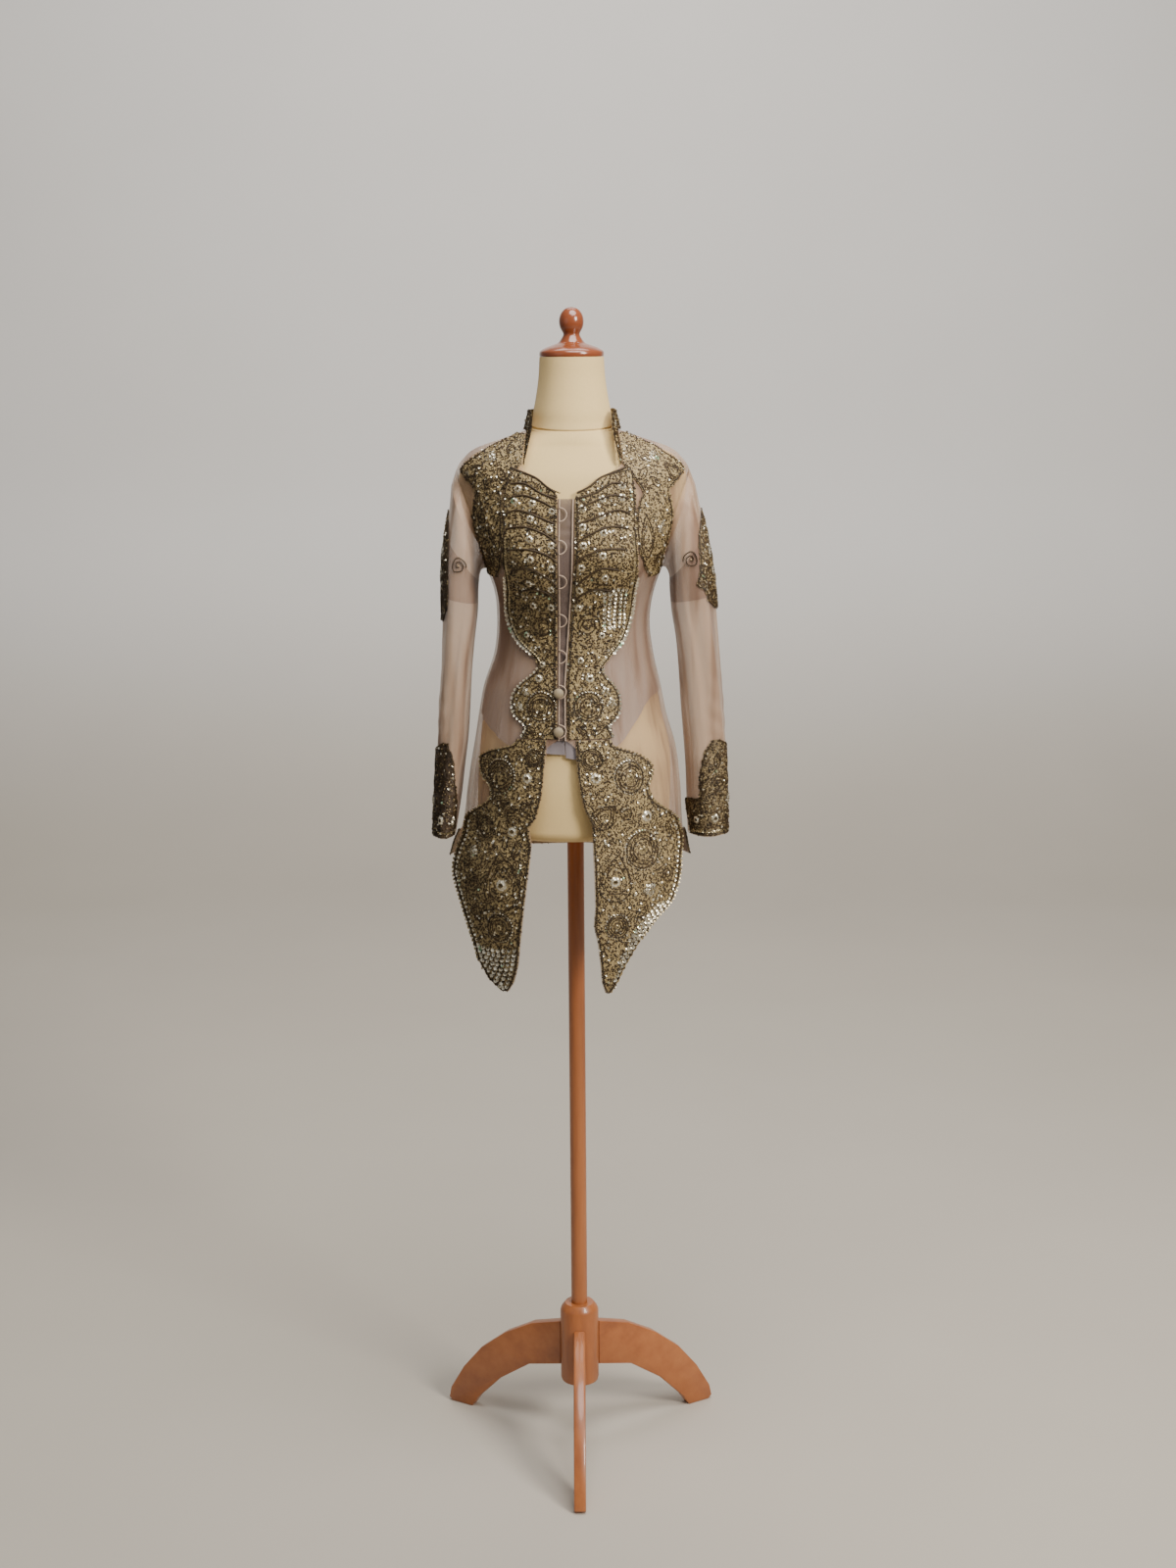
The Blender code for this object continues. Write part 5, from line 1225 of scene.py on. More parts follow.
    def medallion(self, a, b, radius, stuff=SILVER):
        """Rings of slanting beads round a small flower, with a rim of sequins."""
        self.rings.append((a, b, radius))
        self.rope(self.circle(a, b, radius), 0.0044, 1.35, DARK, True, 0.0034)
        self.cord(self.circle(a, b, 0.80 * radius), closed=True)
        self.rope(self.circle(a, b, 0.60 * radius), 0.0032, 0.5, DARK, True, 0.0034)
        turns = full_turns(int(2 * math.pi * radius / 0.0042))
        rim = self.round_places(a, b, 1.10 * radius, turns)
        self.sequins(*rim, 0.0014, stuff, 0.0010, 0.5, turns)
        self.flower(a, b, 0.30 * radius, 6, DULL)

    def drop(self, a, b, wide, tall, turn=0.0, bend=0.0):
        """A teardrop in a rope with a cord inside it, its tip bent over by a share of its breadth."""
        self.rings.append((a, b, wide))
        for share in (1.0, 0.68):
            t = full_turns(16)
            x = wide * share * np.sin(t) * np.abs(np.sin(t / 2)) * 1.3
            y = tall * share * np.cos(t)
            places = self.around(a, b, x + bend * wide * np.clip(y / tall, 0, 1) ** 2, y, turn)
            if share == 1.0:
                self.rope(places, 0.0042, 1.0, DARK, True, 0.0032)
            else:
                self.cord(places, closed=True)

    def leaf(self, a, b, long, wide, turn):
        t = full_turns(12)
        rim = self.around(a, b, long * np.cos(t), wide * np.sin(t) * np.abs(np.sin(t)) ** 0.6, turn)
        self.rope(rim, 0.0036, 0.9, DARK, True, 0.0031, 0.0006)
        vein = np.linspace(-0.8, 0.8, 5) * long
        self.cord(self.around(a, b, vein, 0 * vein, turn), 0.0006)

    def scallops(self, places, radius=0.0021, inward=1, stuff=SILVER, space=0.0040):
        """Sequins in a row along a line, all leaning the same way."""
        a, b = self.route(places, space)
        turn = self.heading(a, b)
        lean = turn - inward * math.pi / 2 + self.chance.normal(0, 0.25, turn.shape)
        self.sequins(a, b, radius, stuff, 0.0012, 0.55, lean)

    def cluster(self, a, b, radius, stuff=SILVER):
        """Sequins crowded round one place, leaning every way."""
        self.hearts.append((a, b, radius))
        count = int((radius / 0.0022) ** 2)
        reach = radius * np.sqrt((np.arange(count) + 0.5) / count)
        turns = np.arange(count) * GOLDEN_TURN
        at = self.round_places(a, b, reach, turns)
        lean = self.chance.uniform(0.2, 0.6, count)
        self.sequins(*at, self.chance.uniform(0.0016, 0.0024, count), stuff, 0.0018, lean, turns)
        self.rice(*at, turns, 0.0015, 0.0014, DARK, 0.0022)

    def seeds(self, a_grid, b_grid, every=7.4e-6):
        """Rice beads sewn close all over the lace, curving round its rings, clear of its flowers.

        every is the lace in square metres to each bead.
        """
        points = self.lay(a_grid, b_grid, 0 * a_grid)
        wide, tall = np.diff(points, axis=1)[:-1], np.diff(points, axis=0)[:, :-1]
        number = np.linalg.norm(np.cross(wide, tall), axis=-1) / every
        number = np.floor(number + self.chance.random(number.shape)).astype(int).ravel()
        row, column = np.divmod(np.repeat(np.arange(number.size), number), wide.shape[1])
        down, over = self.chance.random(row.shape), self.chance.random(row.shape)
        places = []
        for grid in (a_grid, b_grid):
            near = grid[row, column] * (1 - over) + grid[row, column + 1] * over
            far = grid[row + 1, column] * (1 - over) + grid[row + 1, column + 1] * over
            places.append(near * (1 - down) + far * down)
        a, b = places
        spot, across, up, _, _, _ = self.axes(a, b)
        turn = self.chance.uniform(0, math.pi, a.shape)
        keep = np.ones(a.shape, bool)
        for ring_a, ring_b, radius in self.rings:
            arm = spot - self.lay(np.array([ring_a]), np.array([ring_b]), np.zeros(1))
            inside = np.linalg.norm(arm, axis=-1) < 1.25 * radius
            round_it = np.arctan2(dot(arm, up), dot(arm, across)) + math.pi / 2
            turn = np.where(inside, round_it + self.chance.normal(0, 0.35, a.shape), turn)
        for heart_a, heart_b, radius in self.hearts:
            arm = spot - self.lay(np.array([heart_a]), np.array([heart_b]), np.zeros(1))
            keep &= np.linalg.norm(arm, axis=-1) > 0.85 * radius
        luck = self.chance.random(a.shape)
        dark, khaki, shine = keep & (luck < self.dark), keep & (luck >= self.dark), keep & (luck > SHINE_FROM)
        long = self.chance.uniform(0.0036, 0.0054, a.shape)
        self.rice(a[dark], b[dark], turn[dark], long[dark], 0.0023, DARK)
        self.rice(a[khaki], b[khaki], turn[khaki], 0.0025, 0.0019, KHAKI, 0.0003)
        self.sequins(a[shine], b[shine], 0.0018, SILVER, 0.0014, 0.5, turn[shine])

    def sewn(self, name, node):
        """The finished mesh of everything sewn on."""
        points = np.concatenate(self.points) + AXIS
        faces = np.concatenate(self.faces)
        mesh = bpy.data.meshes.new(name)
        mesh.vertices.add(len(points))
        mesh.vertices.foreach_set("co", points.ravel())
        mesh.loops.add(faces.size)
        mesh.loops.foreach_set("vertex_index", faces.ravel())
        mesh.polygons.add(len(faces))
        mesh.polygons.foreach_set("loop_start", np.arange(0, faces.size, 3))
        for stuff in STUFFS:
            mesh.materials.append(stuff)
        mesh.polygons.foreach_set("material_index", np.concatenate(self.stuffs))
        mesh.update(calc_edges=True)
        piece = link(bpy.data.objects.new(name, mesh))
        stand_for(piece, node)
        return piece


def lace_net(name, light, deep, fleck):
    """Fine net closely covered in khaki thread, with dark flecks of the beads between."""
    shade = Shade(name, Roughness=0.6)
    shade.shader.inputs["Sheen Weight"].default_value = 0.05
    cells = shade.cells(430.0)
    tone = shade.blend(light, deep, shade.noise(45.0, 2.0))
    tone = shade.blend(tone, (0.055, 0.037, 0.018), (1.0 - cells.above(0.42)) * fleck)
    return shade.set(Base_Color=tone, Normal=shade.bump(shade.noise(900.0, 2.0) + cells * 1.5, 0.5, 0.0006))


KHAKI_NET = lace_net("khaki_lace_net", (0.43, 0.320, 0.145), (0.24, 0.170, 0.072), 0.5)
OLIVE_NET = lace_net("olive_lace_net", (0.215, 0.155, 0.070), (0.115, 0.080, 0.036), 0.5)
# The plum net is darker than the olive one: partly its own plum colour, partly painted shade, as it dresses
# the sleeve on the wearer's right, the shaded side.
PLUM_NET_WITH_PAINTED_SHADE = lace_net("plum_lace_net_with_painted_shade", (0.100, 0.062, 0.036), (0.045, 0.028, 0.016), 0.5)


def lace(name, node, a, b, beads, ground=KHAKI_NET):
    """One lace piece over a grid of places: its net, and its beadwork as the piece sewn on it."""
    beads.seeds(a, b)
    sewn = beads.sewn(f"{name}_beads", node)
    piece = skin(f"{name}_net", beads.lay(a, b, 0 * a), ground)
    stand_for(piece, node)


def cord_bands(cords):
    """Height over the net between the cords of a bust panel, rounded like stuffed bands."""
    lines = [np.array(cord)[:: 1 if cord[0][0] < cord[-1][0] else -1] for cord in cords]

    def rise(angles, heights):
        x = smooth_column(BODY, "shift", heights) + smooth_column(BODY, "half", heights) * np.sin(angles)
        levels = [np.interp(x, line[:, 0], line[:, 1]) for line in lines]
        count = 0.0 * x
        for upper, lower in zip(levels, levels[1:]):
            count = count + np.clip((upper - heights) / (upper - lower), 0.0, 1.0)
        return BAND_RISE * np.abs(np.sin(math.pi * count)) ** 0.6

    return rise


def flat_net(angles, heights):
    return 0.0 * angles


def on_tulle(rise=flat_net):
    """lay() for lace on the body: angle from the front, height, and height over the lace."""
    def lay(angles, heights, out):
        return on_body(angles, heights, LACE_OUT + out + rise(angles, heights) + creases(angles, heights))

    return lay


def spot(x, height):
    return float(angle_of(x, height)), height


def run(places):
    """A line of places on the fronts, from x and height."""
    x, heights = np.array(places, float).T
    return angle_of(x, heights), heights


def read_edge(table, which, heights):
    """One column of a lace table, whose rows run from the top down."""
    return np.interp(-heights, [-row.z for row in table], [getattr(row, which) for row in table])


def lace_rows(table, side, rows, columns, scallop=0.0024, bulge=0.0):
    """Angles and heights over a lace piece, with small scallops along its outer edge."""
    heights = np.linspace(table[0].z, table[-1].z, rows)
    inner, outer, rise = (read_edge(table, which, heights) for which in ("inner", "outer", "rise"))
    length = np.hypot(np.gradient(outer), np.gradient(heights)).cumsum()
    outer = outer + side * scallop * np.abs(np.sin(math.pi * length / SCALLOP_LONG))
    share = np.linspace(0.0, 1.0, columns)[::-side]
    x = inner[:, None] + (outer - inner)[:, None] * share
    fade = smooth_step(table[0].z - 0.035, table[0].z, heights)[:, None]
    heights = heights[:, None] + rise[:, None] * share + bulge * fade * np.sin(math.pi * share)
    return angle_of(x, heights), heights


def edge_run(table, which, inset, start=0, stop=None):
    """The line of one edge of a lace table, moved in by so many metres."""
    rows = table[start:stop]
    return run([(getattr(row, which) + inset, row.z + (row.rise if which == "outer" else 0)) for row in rows])


for side, table, cords, flowers, low_flowers, scroll_x, name in (
    (-1, RIGHT_BUST, RIGHT_CORDS, RIGHT_FLOWERS, ((-0.0442, 1.2469), (-0.0662, 1.2880)), -0.0436, "right"),
    (1, LEFT_BUST, LEFT_CORDS, LEFT_FLOWERS, ((0.0099, 1.2530), (0.0400, 1.2880)), 0.0208, "left"),
):
    beads = Beadwork(on_tulle(cord_bands(cords)), 20 + side)
    for cord in cords:
        start = (table[0].inner + side * 0.001, cord[0][1])
        beads.cord(run([start, *cord[1:]]), 0.0016, out=0.0010)
    for x, height in flowers:
        beads.flower(*spot(x, height), 0.0075)
    for x, height in low_flowers:
        beads.flower(*spot(x, height), 0.0065, 7)
    beads.spiral(*spot(scroll_x, 1.3036), 0.0186, 2.2, 0.5, -side)
    beads.rope(edge_run(table, "inner", side * 0.0028), 0.0066, 0.85, DARK, False, 0.0034)
    beads.rope(edge_run(table, "outer", -side * 0.0020), 0.0040, 0.9)
    beads.scallops(edge_run(table, "outer", -side * 0.0052, 2), 0.0020, side, DULL)
    beads.scallops(edge_run(table, "outer", side * 0.0010, 3, 7), 0.0033, side, SILVER, 0.0062)
    neckline = [*cords[0][:3], (table[0].outer * 0.98, cords[0][3][1] - 0.004)]
    beads.rope(run(neckline), 0.0040, 0.9)
    angles, heights = lace_rows(table, side, 150, 40, 0.0018, 0.0052)
    if side > 0:
        for height in np.arange(1.3000, 1.3560, 0.0062):
            line = [(0.0400, height - 0.0060), (0.0560, height), (0.0740, height - 0.0015)]
            beads.scallops(run(line), 0.0028, -1, SILVER, 0.0070)
    lace(f"bust_lace_{name}", f"lace_bust_{name}", angles, heights, beads)


# The waist lace: a narrower piece on each front below the bust, round one large medallion.
RIGHT_WAIST = (
    Lace(1.2425, -0.0240, -0.0500),
    Lace(1.2330, -0.0241, -0.0570),
    Lace(1.2150, -0.0243, -0.0780),
    Lace(1.1980, -0.0245, -0.0880),
    Lace(1.1750, -0.0248, -0.0860),
    Lace(1.1580, -0.0250, -0.0690),
    Lace(1.1450, -0.0252, -0.0740),
    Lace(1.1410, -0.0252, -0.0740),
)
LEFT_WAIST = (
    Lace(1.2425, -0.0088, 0.0415),
    Lace(1.2330, -0.0095, 0.0420),
    Lace(1.2150, -0.0100, 0.0570),
    Lace(1.1980, -0.0100, 0.0650),
    Lace(1.1750, -0.0100, 0.0635),
    Lace(1.1580, -0.0100, 0.0500),
    Lace(1.1450, -0.0100, 0.0540),
    Lace(1.1410, -0.0100, 0.0540),
)
for side, table, middle, clusters, name in (
    (-1, RIGHT_WAIST, (-0.0475, 1.1863), ((-0.0775, 1.1845), (-0.0695, 1.2067)), "right"),
    (1, LEFT_WAIST, (0.0207, 1.1865), ((0.0450, 1.2070), (0.0540, 1.1912)), "left"),
):
    beads = Beadwork(on_tulle(), 30 + side)
    beads.medallion(*spot(*middle), 0.0200)
    for x, height in clusters:
        beads.cluster(*spot(x, height), 0.0062)
    beads.flower(*spot(middle[0] + side * 0.002, 1.2270), 0.0080, 7)
    beads.leaf(*spot(middle[0] - side * 0.010, 1.1530), 0.0100, 0.0045, side * 2.4)
    beads.leaf(*spot(middle[0] + side * 0.014, 1.1530), 0.0100, 0.0045, side * 0.7)
    beads.rope(edge_run(table, "inner", side * 0.0028), 0.0066, 0.85, DARK, False, 0.0034)
    beads.rope(edge_run(table, "outer", -side * 0.0020), 0.0040, 0.9)
    beads.scallops(edge_run(table, "outer", side * 0.0004), 0.0026, side, SILVER, 0.0064)
    angles, heights = lace_rows(table, side, 90, 34)
    lace(f"waist_lace_{name}", f"lace_waist_{name}", angles, heights, beads)


# The hem lace: the broadest piece of each front, from the end of the closing down to the point,
# with ringed medallions, drops and rows of sequins along the slanting hem.
RIGHT_HEM = (
    Lace(1.1390, -0.0400, -0.0800),
    Lace(1.1280, -0.0410, -0.0900),
    Lace(1.1150, -0.0420, -0.1250),
    Lace(1.1050, -0.0430, -0.1365),
    Lace(1.0850, -0.0450, -0.1350),
    Lace(1.0650, -0.0470, -0.1200),
    Lace(1.0450, -0.0510, -0.1250),
    Lace(1.0260, -0.0572, -0.1480),
    Lace(1.0120, -0.0670, -0.1600),
    Lace(0.9850, -0.0632, -0.1655),
    Lace(0.9620, -0.0660, -0.1750),
    Lace(0.9350, -0.0697, -0.1800),
    Lace(0.8970, -0.0747, -0.1690),
    Lace(0.8450, -0.0807, -0.1515),
    Lace(0.8120, -0.0842, -0.1425),
    Lace(0.7850, -0.0907, -0.1270),
    Lace(0.7690, -0.0995, -0.1078),
)
LEFT_HEM = (
    Lace(1.1390, 0.0030, 0.0500),
    Lace(1.1280, 0.0030, 0.0570),
    Lace(1.1150, 0.0035, 0.0900),
    Lace(1.1000, 0.0042, 0.1090),
    Lace(1.0850, 0.0055, 0.1110),
    Lace(1.0650, 0.0090, 0.1050),
    Lace(1.0440, 0.0131, 0.1150),
    Lace(1.0260, 0.0215, 0.1350),
    Lace(1.0120, 0.0256, 0.1480),
    Lace(0.9850, 0.0264, 0.1560),
    Lace(0.9580, 0.0282, 0.1545),
    Lace(0.9300, 0.0285, 0.1520),
    Lace(0.8970, 0.0292, 0.1405),
    Lace(0.8730, 0.0267, 0.1160),
    Lace(0.8450, 0.0327, 0.0930),
    Lace(0.8120, 0.0362, 0.0725),
    Lace(0.7850, 0.0383, 0.0595),
    Lace(0.7690, 0.0430, 0.0502),
)


def hem_borders(beads, side, table):
    beads.rope(edge_run(table, "inner", side * 0.0022), 0.0056, 0.85, DARK, False, 0.0034)
    beads.rope(edge_run(table, "outer", -side * 0.0020), 0.0042, 0.9)
    beads.scallops(edge_run(table, "outer", side * 0.0004, 1, 15), 0.0024, side, DULL, 0.0064)
    beads.scallops(edge_run(table, "outer", -side * 0.0062, 8, 15), 0.0022, side, SILVER, 0.0070)


lay = on_tulle()
beads = Beadwork(lay, 41)
hem_borders(beads, -1, RIGHT_HEM)
beads.medallion(*spot(-0.1075, 1.0830), 0.0235)
beads.medallion(*spot(-0.0570, 1.1130), 0.0125, DULL)
beads.flower(*spot(-0.0676, 1.0840), 0.0105, 7)
beads.spiral(*spot(-0.0690, 1.0400), 0.0115, 1.8, 0.0, 1)
beads.leaf(*spot(-0.0960, 1.0420), 0.0150, 0.0060, 2.6)
beads.medallion(*spot(-0.1300, 1.0060), 0.0180, DULL)
beads.flower(*spot(-0.0900, 1.0060), 0.0100, 7)
beads.drop(*spot(-0.1068, 0.9334), 0.0290, 0.0420, 0.0, -0.3)
beads.flower(*spot(-0.1068, 0.9280), 0.0120, 8)
beads.cluster(*spot(-0.1480, 0.9700), 0.0090)
beads.spiral(*spot(-0.1490, 0.9250), 0.0135, 1.8, 1.0, -1)
beads.leaf(*spot(-0.0840, 0.9800), 0.0130, 0.0055, 1.2)
beads.medallion(*spot(-0.1105, 0.8655), 0.0195)
beads.leaf(*spot(-0.1430, 0.8830), 0.0130, 0.0055, 1.9)
for height in np.arange(0.7760, 0.8340, 0.0070):
    near = float(read_edge(RIGHT_HEM, "inner", height)) - 0.003
    far = float(read_edge(RIGHT_HEM, "outer", height)) + 0.003
    line = [(far, height + 0.0020), ((near + far) / 2, height - 0.0015), (near, height + 0.0020)]
    beads.scallops(run(line), 0.0035, -1, SILVER, 0.0080)
angles, heights = lace_rows(RIGHT_HEM, -1, 170, 46)
lace("hem_lace_right", "lace_hem_right", angles, heights, beads)

beads = Beadwork(lay, 43)
hem_borders(beads, 1, LEFT_HEM)
beads.medallion(*spot(0.0790, 1.0841), 0.0225)
beads.medallion(*spot(0.0250, 1.1120), 0.0155, DULL)
beads.flower(*spot(0.0303, 1.0850), 0.0105, 7)
beads.drop(*spot(0.0420, 1.0311), 0.0160, 0.0200, -0.5, 0.5)
beads.flower(*spot(0.1033, 1.0247), 0.0120, 8)
beads.spiral(*spot(0.0740, 1.0330), 0.0120, 1.8, 0.0, -1)
beads.medallion(*spot(0.0980, 0.9770), 0.0265)
beads.drop(*spot(0.0580, 0.9400), 0.0240, 0.0340, 0.0, 0.3)
beads.flower(*spot(0.0570, 0.9350), 0.0105, 8)
beads.spiral(*spot(0.1330, 0.9360), 0.0130, 1.8, 2.0, 1)
beads.medallion(*spot(0.0603, 0.8690), 0.0165)
beads.cluster(*spot(0.1080, 0.9180), 0.0095)
beads.leaf(*spot(0.1360, 1.0000), 0.0130, 0.0055, 2.0)
beads.leaf(*spot(0.0950, 0.8870), 0.0130, 0.0055, 0.6)
for step in range(3):
    line = edge_run(LEFT_HEM, "outer", -0.0050 - 0.0066 * step, 12, 17 - step)
    beads.scallops(line, 0.0033, 1, SILVER, 0.0076)
angles, heights = lace_rows(LEFT_HEM, 1, 170, 46)
lace("hem_lace_left", "lace_hem_left", angles, heights, beads)


# The back hem lace: a border along the curved hem of the back, scalloped on its upper edge, with
# flowers and scrolls in turn.
BACK_LACE_TALL = 0.033
BACK_SCALLOP = 0.006
SIDE_GAP = 0.004


def back_border(share, up):
    """Angle and height on the border from its place along the hem, -1 to 1, and its share up."""
    scallop = BACK_SCALLOP * np.abs(np.sin(share * 9.0 * math.pi)) ** 0.7
    hem = BACK_HEM - BACK_HEM_DIP * np.cos(share * math.pi / 2) + 0.0005
    return math.pi + share * (math.pi / 2 - SIDE_GAP), hem + (BACK_LACE_TALL + scallop) * up


beads = Beadwork(lay, 51)
line = np.linspace(-1, 1, 60)
beads.rope(back_border(line, 0.05), 0.0042, 0.9)
beads.rope(back_border(line, 0.94), 0.0036, 0.9)
beads.scallops(back_border(line, 0.17), 0.0021, 1, SILVER)
for number, share in enumerate(np.linspace(-0.94, 0.94, 17)):
    angle, height = back_border(share, 0.55)
    if number % 2:
        beads.flower(float(angle), float(height), 0.0095, 7)
    else:
        beads.spiral(float(angle), float(height), 0.0105, 1.6, share, 1 if share < 0 else -1)
share, up = np.meshgrid(np.linspace(-1, 1, 220), np.linspace(1.0, 0.0, 14))
angles, heights = back_border(share[:, ::-1], up)
lace("back_hem_lace", "lace_back_hem", angles, heights, beads)


# The shoulder lace: on each shoulder from the neck out towards the sleeve, pointed below, with a
# paisley, a cluster of sequins and a scroll by the neck.
SHOULDER = (
    Lace(1.5715, 0.0668, 0.0760),
    Lace(1.5600, 0.0684, 0.1020),
    Lace(1.5450, 0.0703, 0.1310),
    Lace(1.5300, 0.0722, 0.1530),
    Lace(1.5200, 0.0815, 0.1600),
    Lace(1.5080, 0.0890, 0.1500),
    Lace(1.4960, 0.0975, 0.1390),
    Lace(1.4895, 0.1000, 0.1360),
)


def mirrored(table, side):
    return tuple(Lace(row.z, side * row.inner, side * row.outer, row.rise) for row in table)


for side, name in ((-1, "right"), (1, "left")):
    table = mirrored(SHOULDER, side)
    # Fewer dark beads on the wearer's left, the lit side, make its lace lighter: painted light.
    beads = Beadwork(lay, 60 + side, 0.66 if side < 0 else 0.56)
    beads.drop(*spot(side * 0.1430, 1.5190), 0.0110, 0.0150, side * 0.6, -side * 0.4)
    beads.cluster(*spot(side * 0.1160, 1.5400), 0.0085)
    beads.spiral(*spot(side * 0.0850, 1.5500), 0.0085, 1.7, 0.0, side)
    beads.leaf(*spot(side * 0.1000, 1.5160), 0.0110, 0.0050, side * 1.0)
    beads.leaf(*spot(side * 0.1180, 1.5040), 0.0095, 0.0045, side * 2.2)
    beads.rope(edge_run(table, "inner", side * 0.0020, 3), 0.0038, 0.9)
    beads.rope(edge_run(table, "outer", -side * 0.0020, 1), 0.0038, 0.9)
    angles, heights = lace_rows(table, side, 50, 36)
    node = f"lace_shoulder_{name}"
    lace(f"shoulder_lace_{name}", node, angles, heights, beads)


# The armhole lace: a drop-shaped piece between the bust and the armhole of each front.
RIGHT_ARMPIT = (
    Lace(1.4885, -0.1000, -0.1360),
    Lace(1.4800, -0.0992, -0.1390),
    Lace(1.4600, -0.0990, -0.1420),
    Lace(1.4350, -0.0975, -0.1380),
    Lace(1.4050, -0.0970, -0.1290),
    Lace(1.3850, -0.0985, -0.1260),
    Lace(1.3700, -0.1060, -0.1200),
)
LEFT_ARMPIT = (
    Lace(1.4885, 0.1000, 0.1360),
    Lace(1.4800, 0.0950, 0.1390),
    Lace(1.4600, 0.0900, 0.1420),
    Lace(1.4350, 0.0885, 0.1380),
    Lace(1.4050, 0.0900, 0.1290),
    Lace(1.3850, 0.0970, 0.1260),
    Lace(1.3700, 0.1060, 0.1200),
)
for side, table, name in ((-1, RIGHT_ARMPIT, "right"), (1, LEFT_ARMPIT, "left")):
    # Fewer dark beads on the wearer's left, the lit side, make its lace lighter: painted light.
    beads = Beadwork(lay, 70 + side, 0.66 if side < 0 else 0.56)
    if side < 0:
        beads.spiral(*spot(-0.1270, 1.4560), 0.0110, 1.9, 0.0, -1)
        beads.leaf(*spot(-0.1120, 1.4330), 0.0120, 0.0055, 1.9)
        beads.leaf(*spot(-0.1120, 1.4020), 0.0125, 0.0055, 1.3)
    else:
        beads.drop(*spot(0.1030, 1.4300), 0.0110, 0.0300, 0.0, 0.0)
        beads.cluster(*spot(0.1240, 1.4400), 0.0080)
        beads.leaf(*spot(0.1170, 1.3960), 0.0110, 0.0050, 1.6)
    beads.rope(edge_run(table, "inner", side * 0.0018), 0.0036, 0.9)
    beads.rope(edge_run(table, "outer", -side * 0.0018), 0.0036, 0.9)
    angles, heights = lace_rows(table, side, 50, 24)
    node = f"lace_armhole_{name}"
    lace(f"armhole_lace_{name}", node, angles, heights, beads)


# The sleeve lace: a pointed piece down the upper arm of each sleeve and a deep cuff, notched at
# the front, both darker on the wearer's right, where the darker net and the larger share of dark beads are
# partly painted shade of the shaded side.
SleeveLace = namedtuple("SleeveLace", "ring back front")
RIGHT_UPPER_ARM = (
    SleeveLace(1.10, 0, 18),
    SleeveLace(1.55, -20, 36),
    SleeveLace(2.00, -40, 48),
    SleeveLace(2.60, -40, 55),
    SleeveLace(3.20, -40, 58),
    SleeveLace(4.00, -40, 60),
    SleeveLace(4.70, -30, 56),
    SleeveLace(5.20, -12, 30),
)
LEFT_UPPER_ARM = (
    SleeveLace(1.10, 0, 20),
    SleeveLace(1.55, -20, 52),
    SleeveLace(2.00, -40, 64),
    SleeveLace(2.60, -40, 66),
    SleeveLace(3.20, -40, 74),
    SleeveLace(3.60, -40, 82),
    SleeveLace(4.00, -40, 62),
    SleeveLace(4.40, -36, 58),
    SleeveLace(4.80, -24, 20),
)
RIGHT_CUFF = (
    SleeveLace(9.10, 64, 80),
    SleeveLace(9.40, 20, 92),
    SleeveLace(9.80, -20, 104),
    SleeveLace(10.4, -45, 112),
    SleeveLace(11.2, -65, 132),
    SleeveLace(12.0, -80, 146),
    SleeveLace(12.95, -80, 146),
)
LEFT_CUFF = (
    SleeveLace(9.05, 58, 76),
    SleeveLace(9.30, 20, 90),
    SleeveLace(9.60, -14, 98),
    SleeveLace(10.3, -40, 110),
    SleeveLace(11.1, -60, 110),
    SleeveLace(11.3, -70, 172),
    SleeveLace(11.8, -80, 170),
    SleeveLace(12.4, -80, 156),
    SleeveLace(12.95, -80, 150),
)


def on_sleeve(rings, side):
    """lay() for lace on a sleeve: turn from outward to the front, ring, and height over the lace."""
    def lay(turns, positions, out):
        return sleeve_points(rings, side, positions, turns, LACE_OUT + out)

    return lay


def sleeve_rows(table, side, rows, columns):
    positions = np.linspace(table[0].ring, table[-1].ring, rows)
    back = np.radians(np.interp(positions, [row.ring for row in table], [row.back for row in table]))
    front_turn = np.radians(np.interp(positions, [row.ring for row in table], [row.front for row in table]))
    scallop = 0.050 * np.abs(np.sin(math.pi * positions / 0.30))
    share = np.linspace(0.0, 1.0, columns)[::side]
    turns = (back - scallop)[:, None] + (front_turn - back + 2 * scallop)[:, None] * share
    return turns, positions[:, None] + 0 * turns


def sleeve_edge(table, which, inset):
    turns = np.radians([getattr(row, which) + inset for row in table])
    return turns, np.array([row.ring for row in table])


def turned_at(ring, degrees):
    return math.radians(degrees), ring


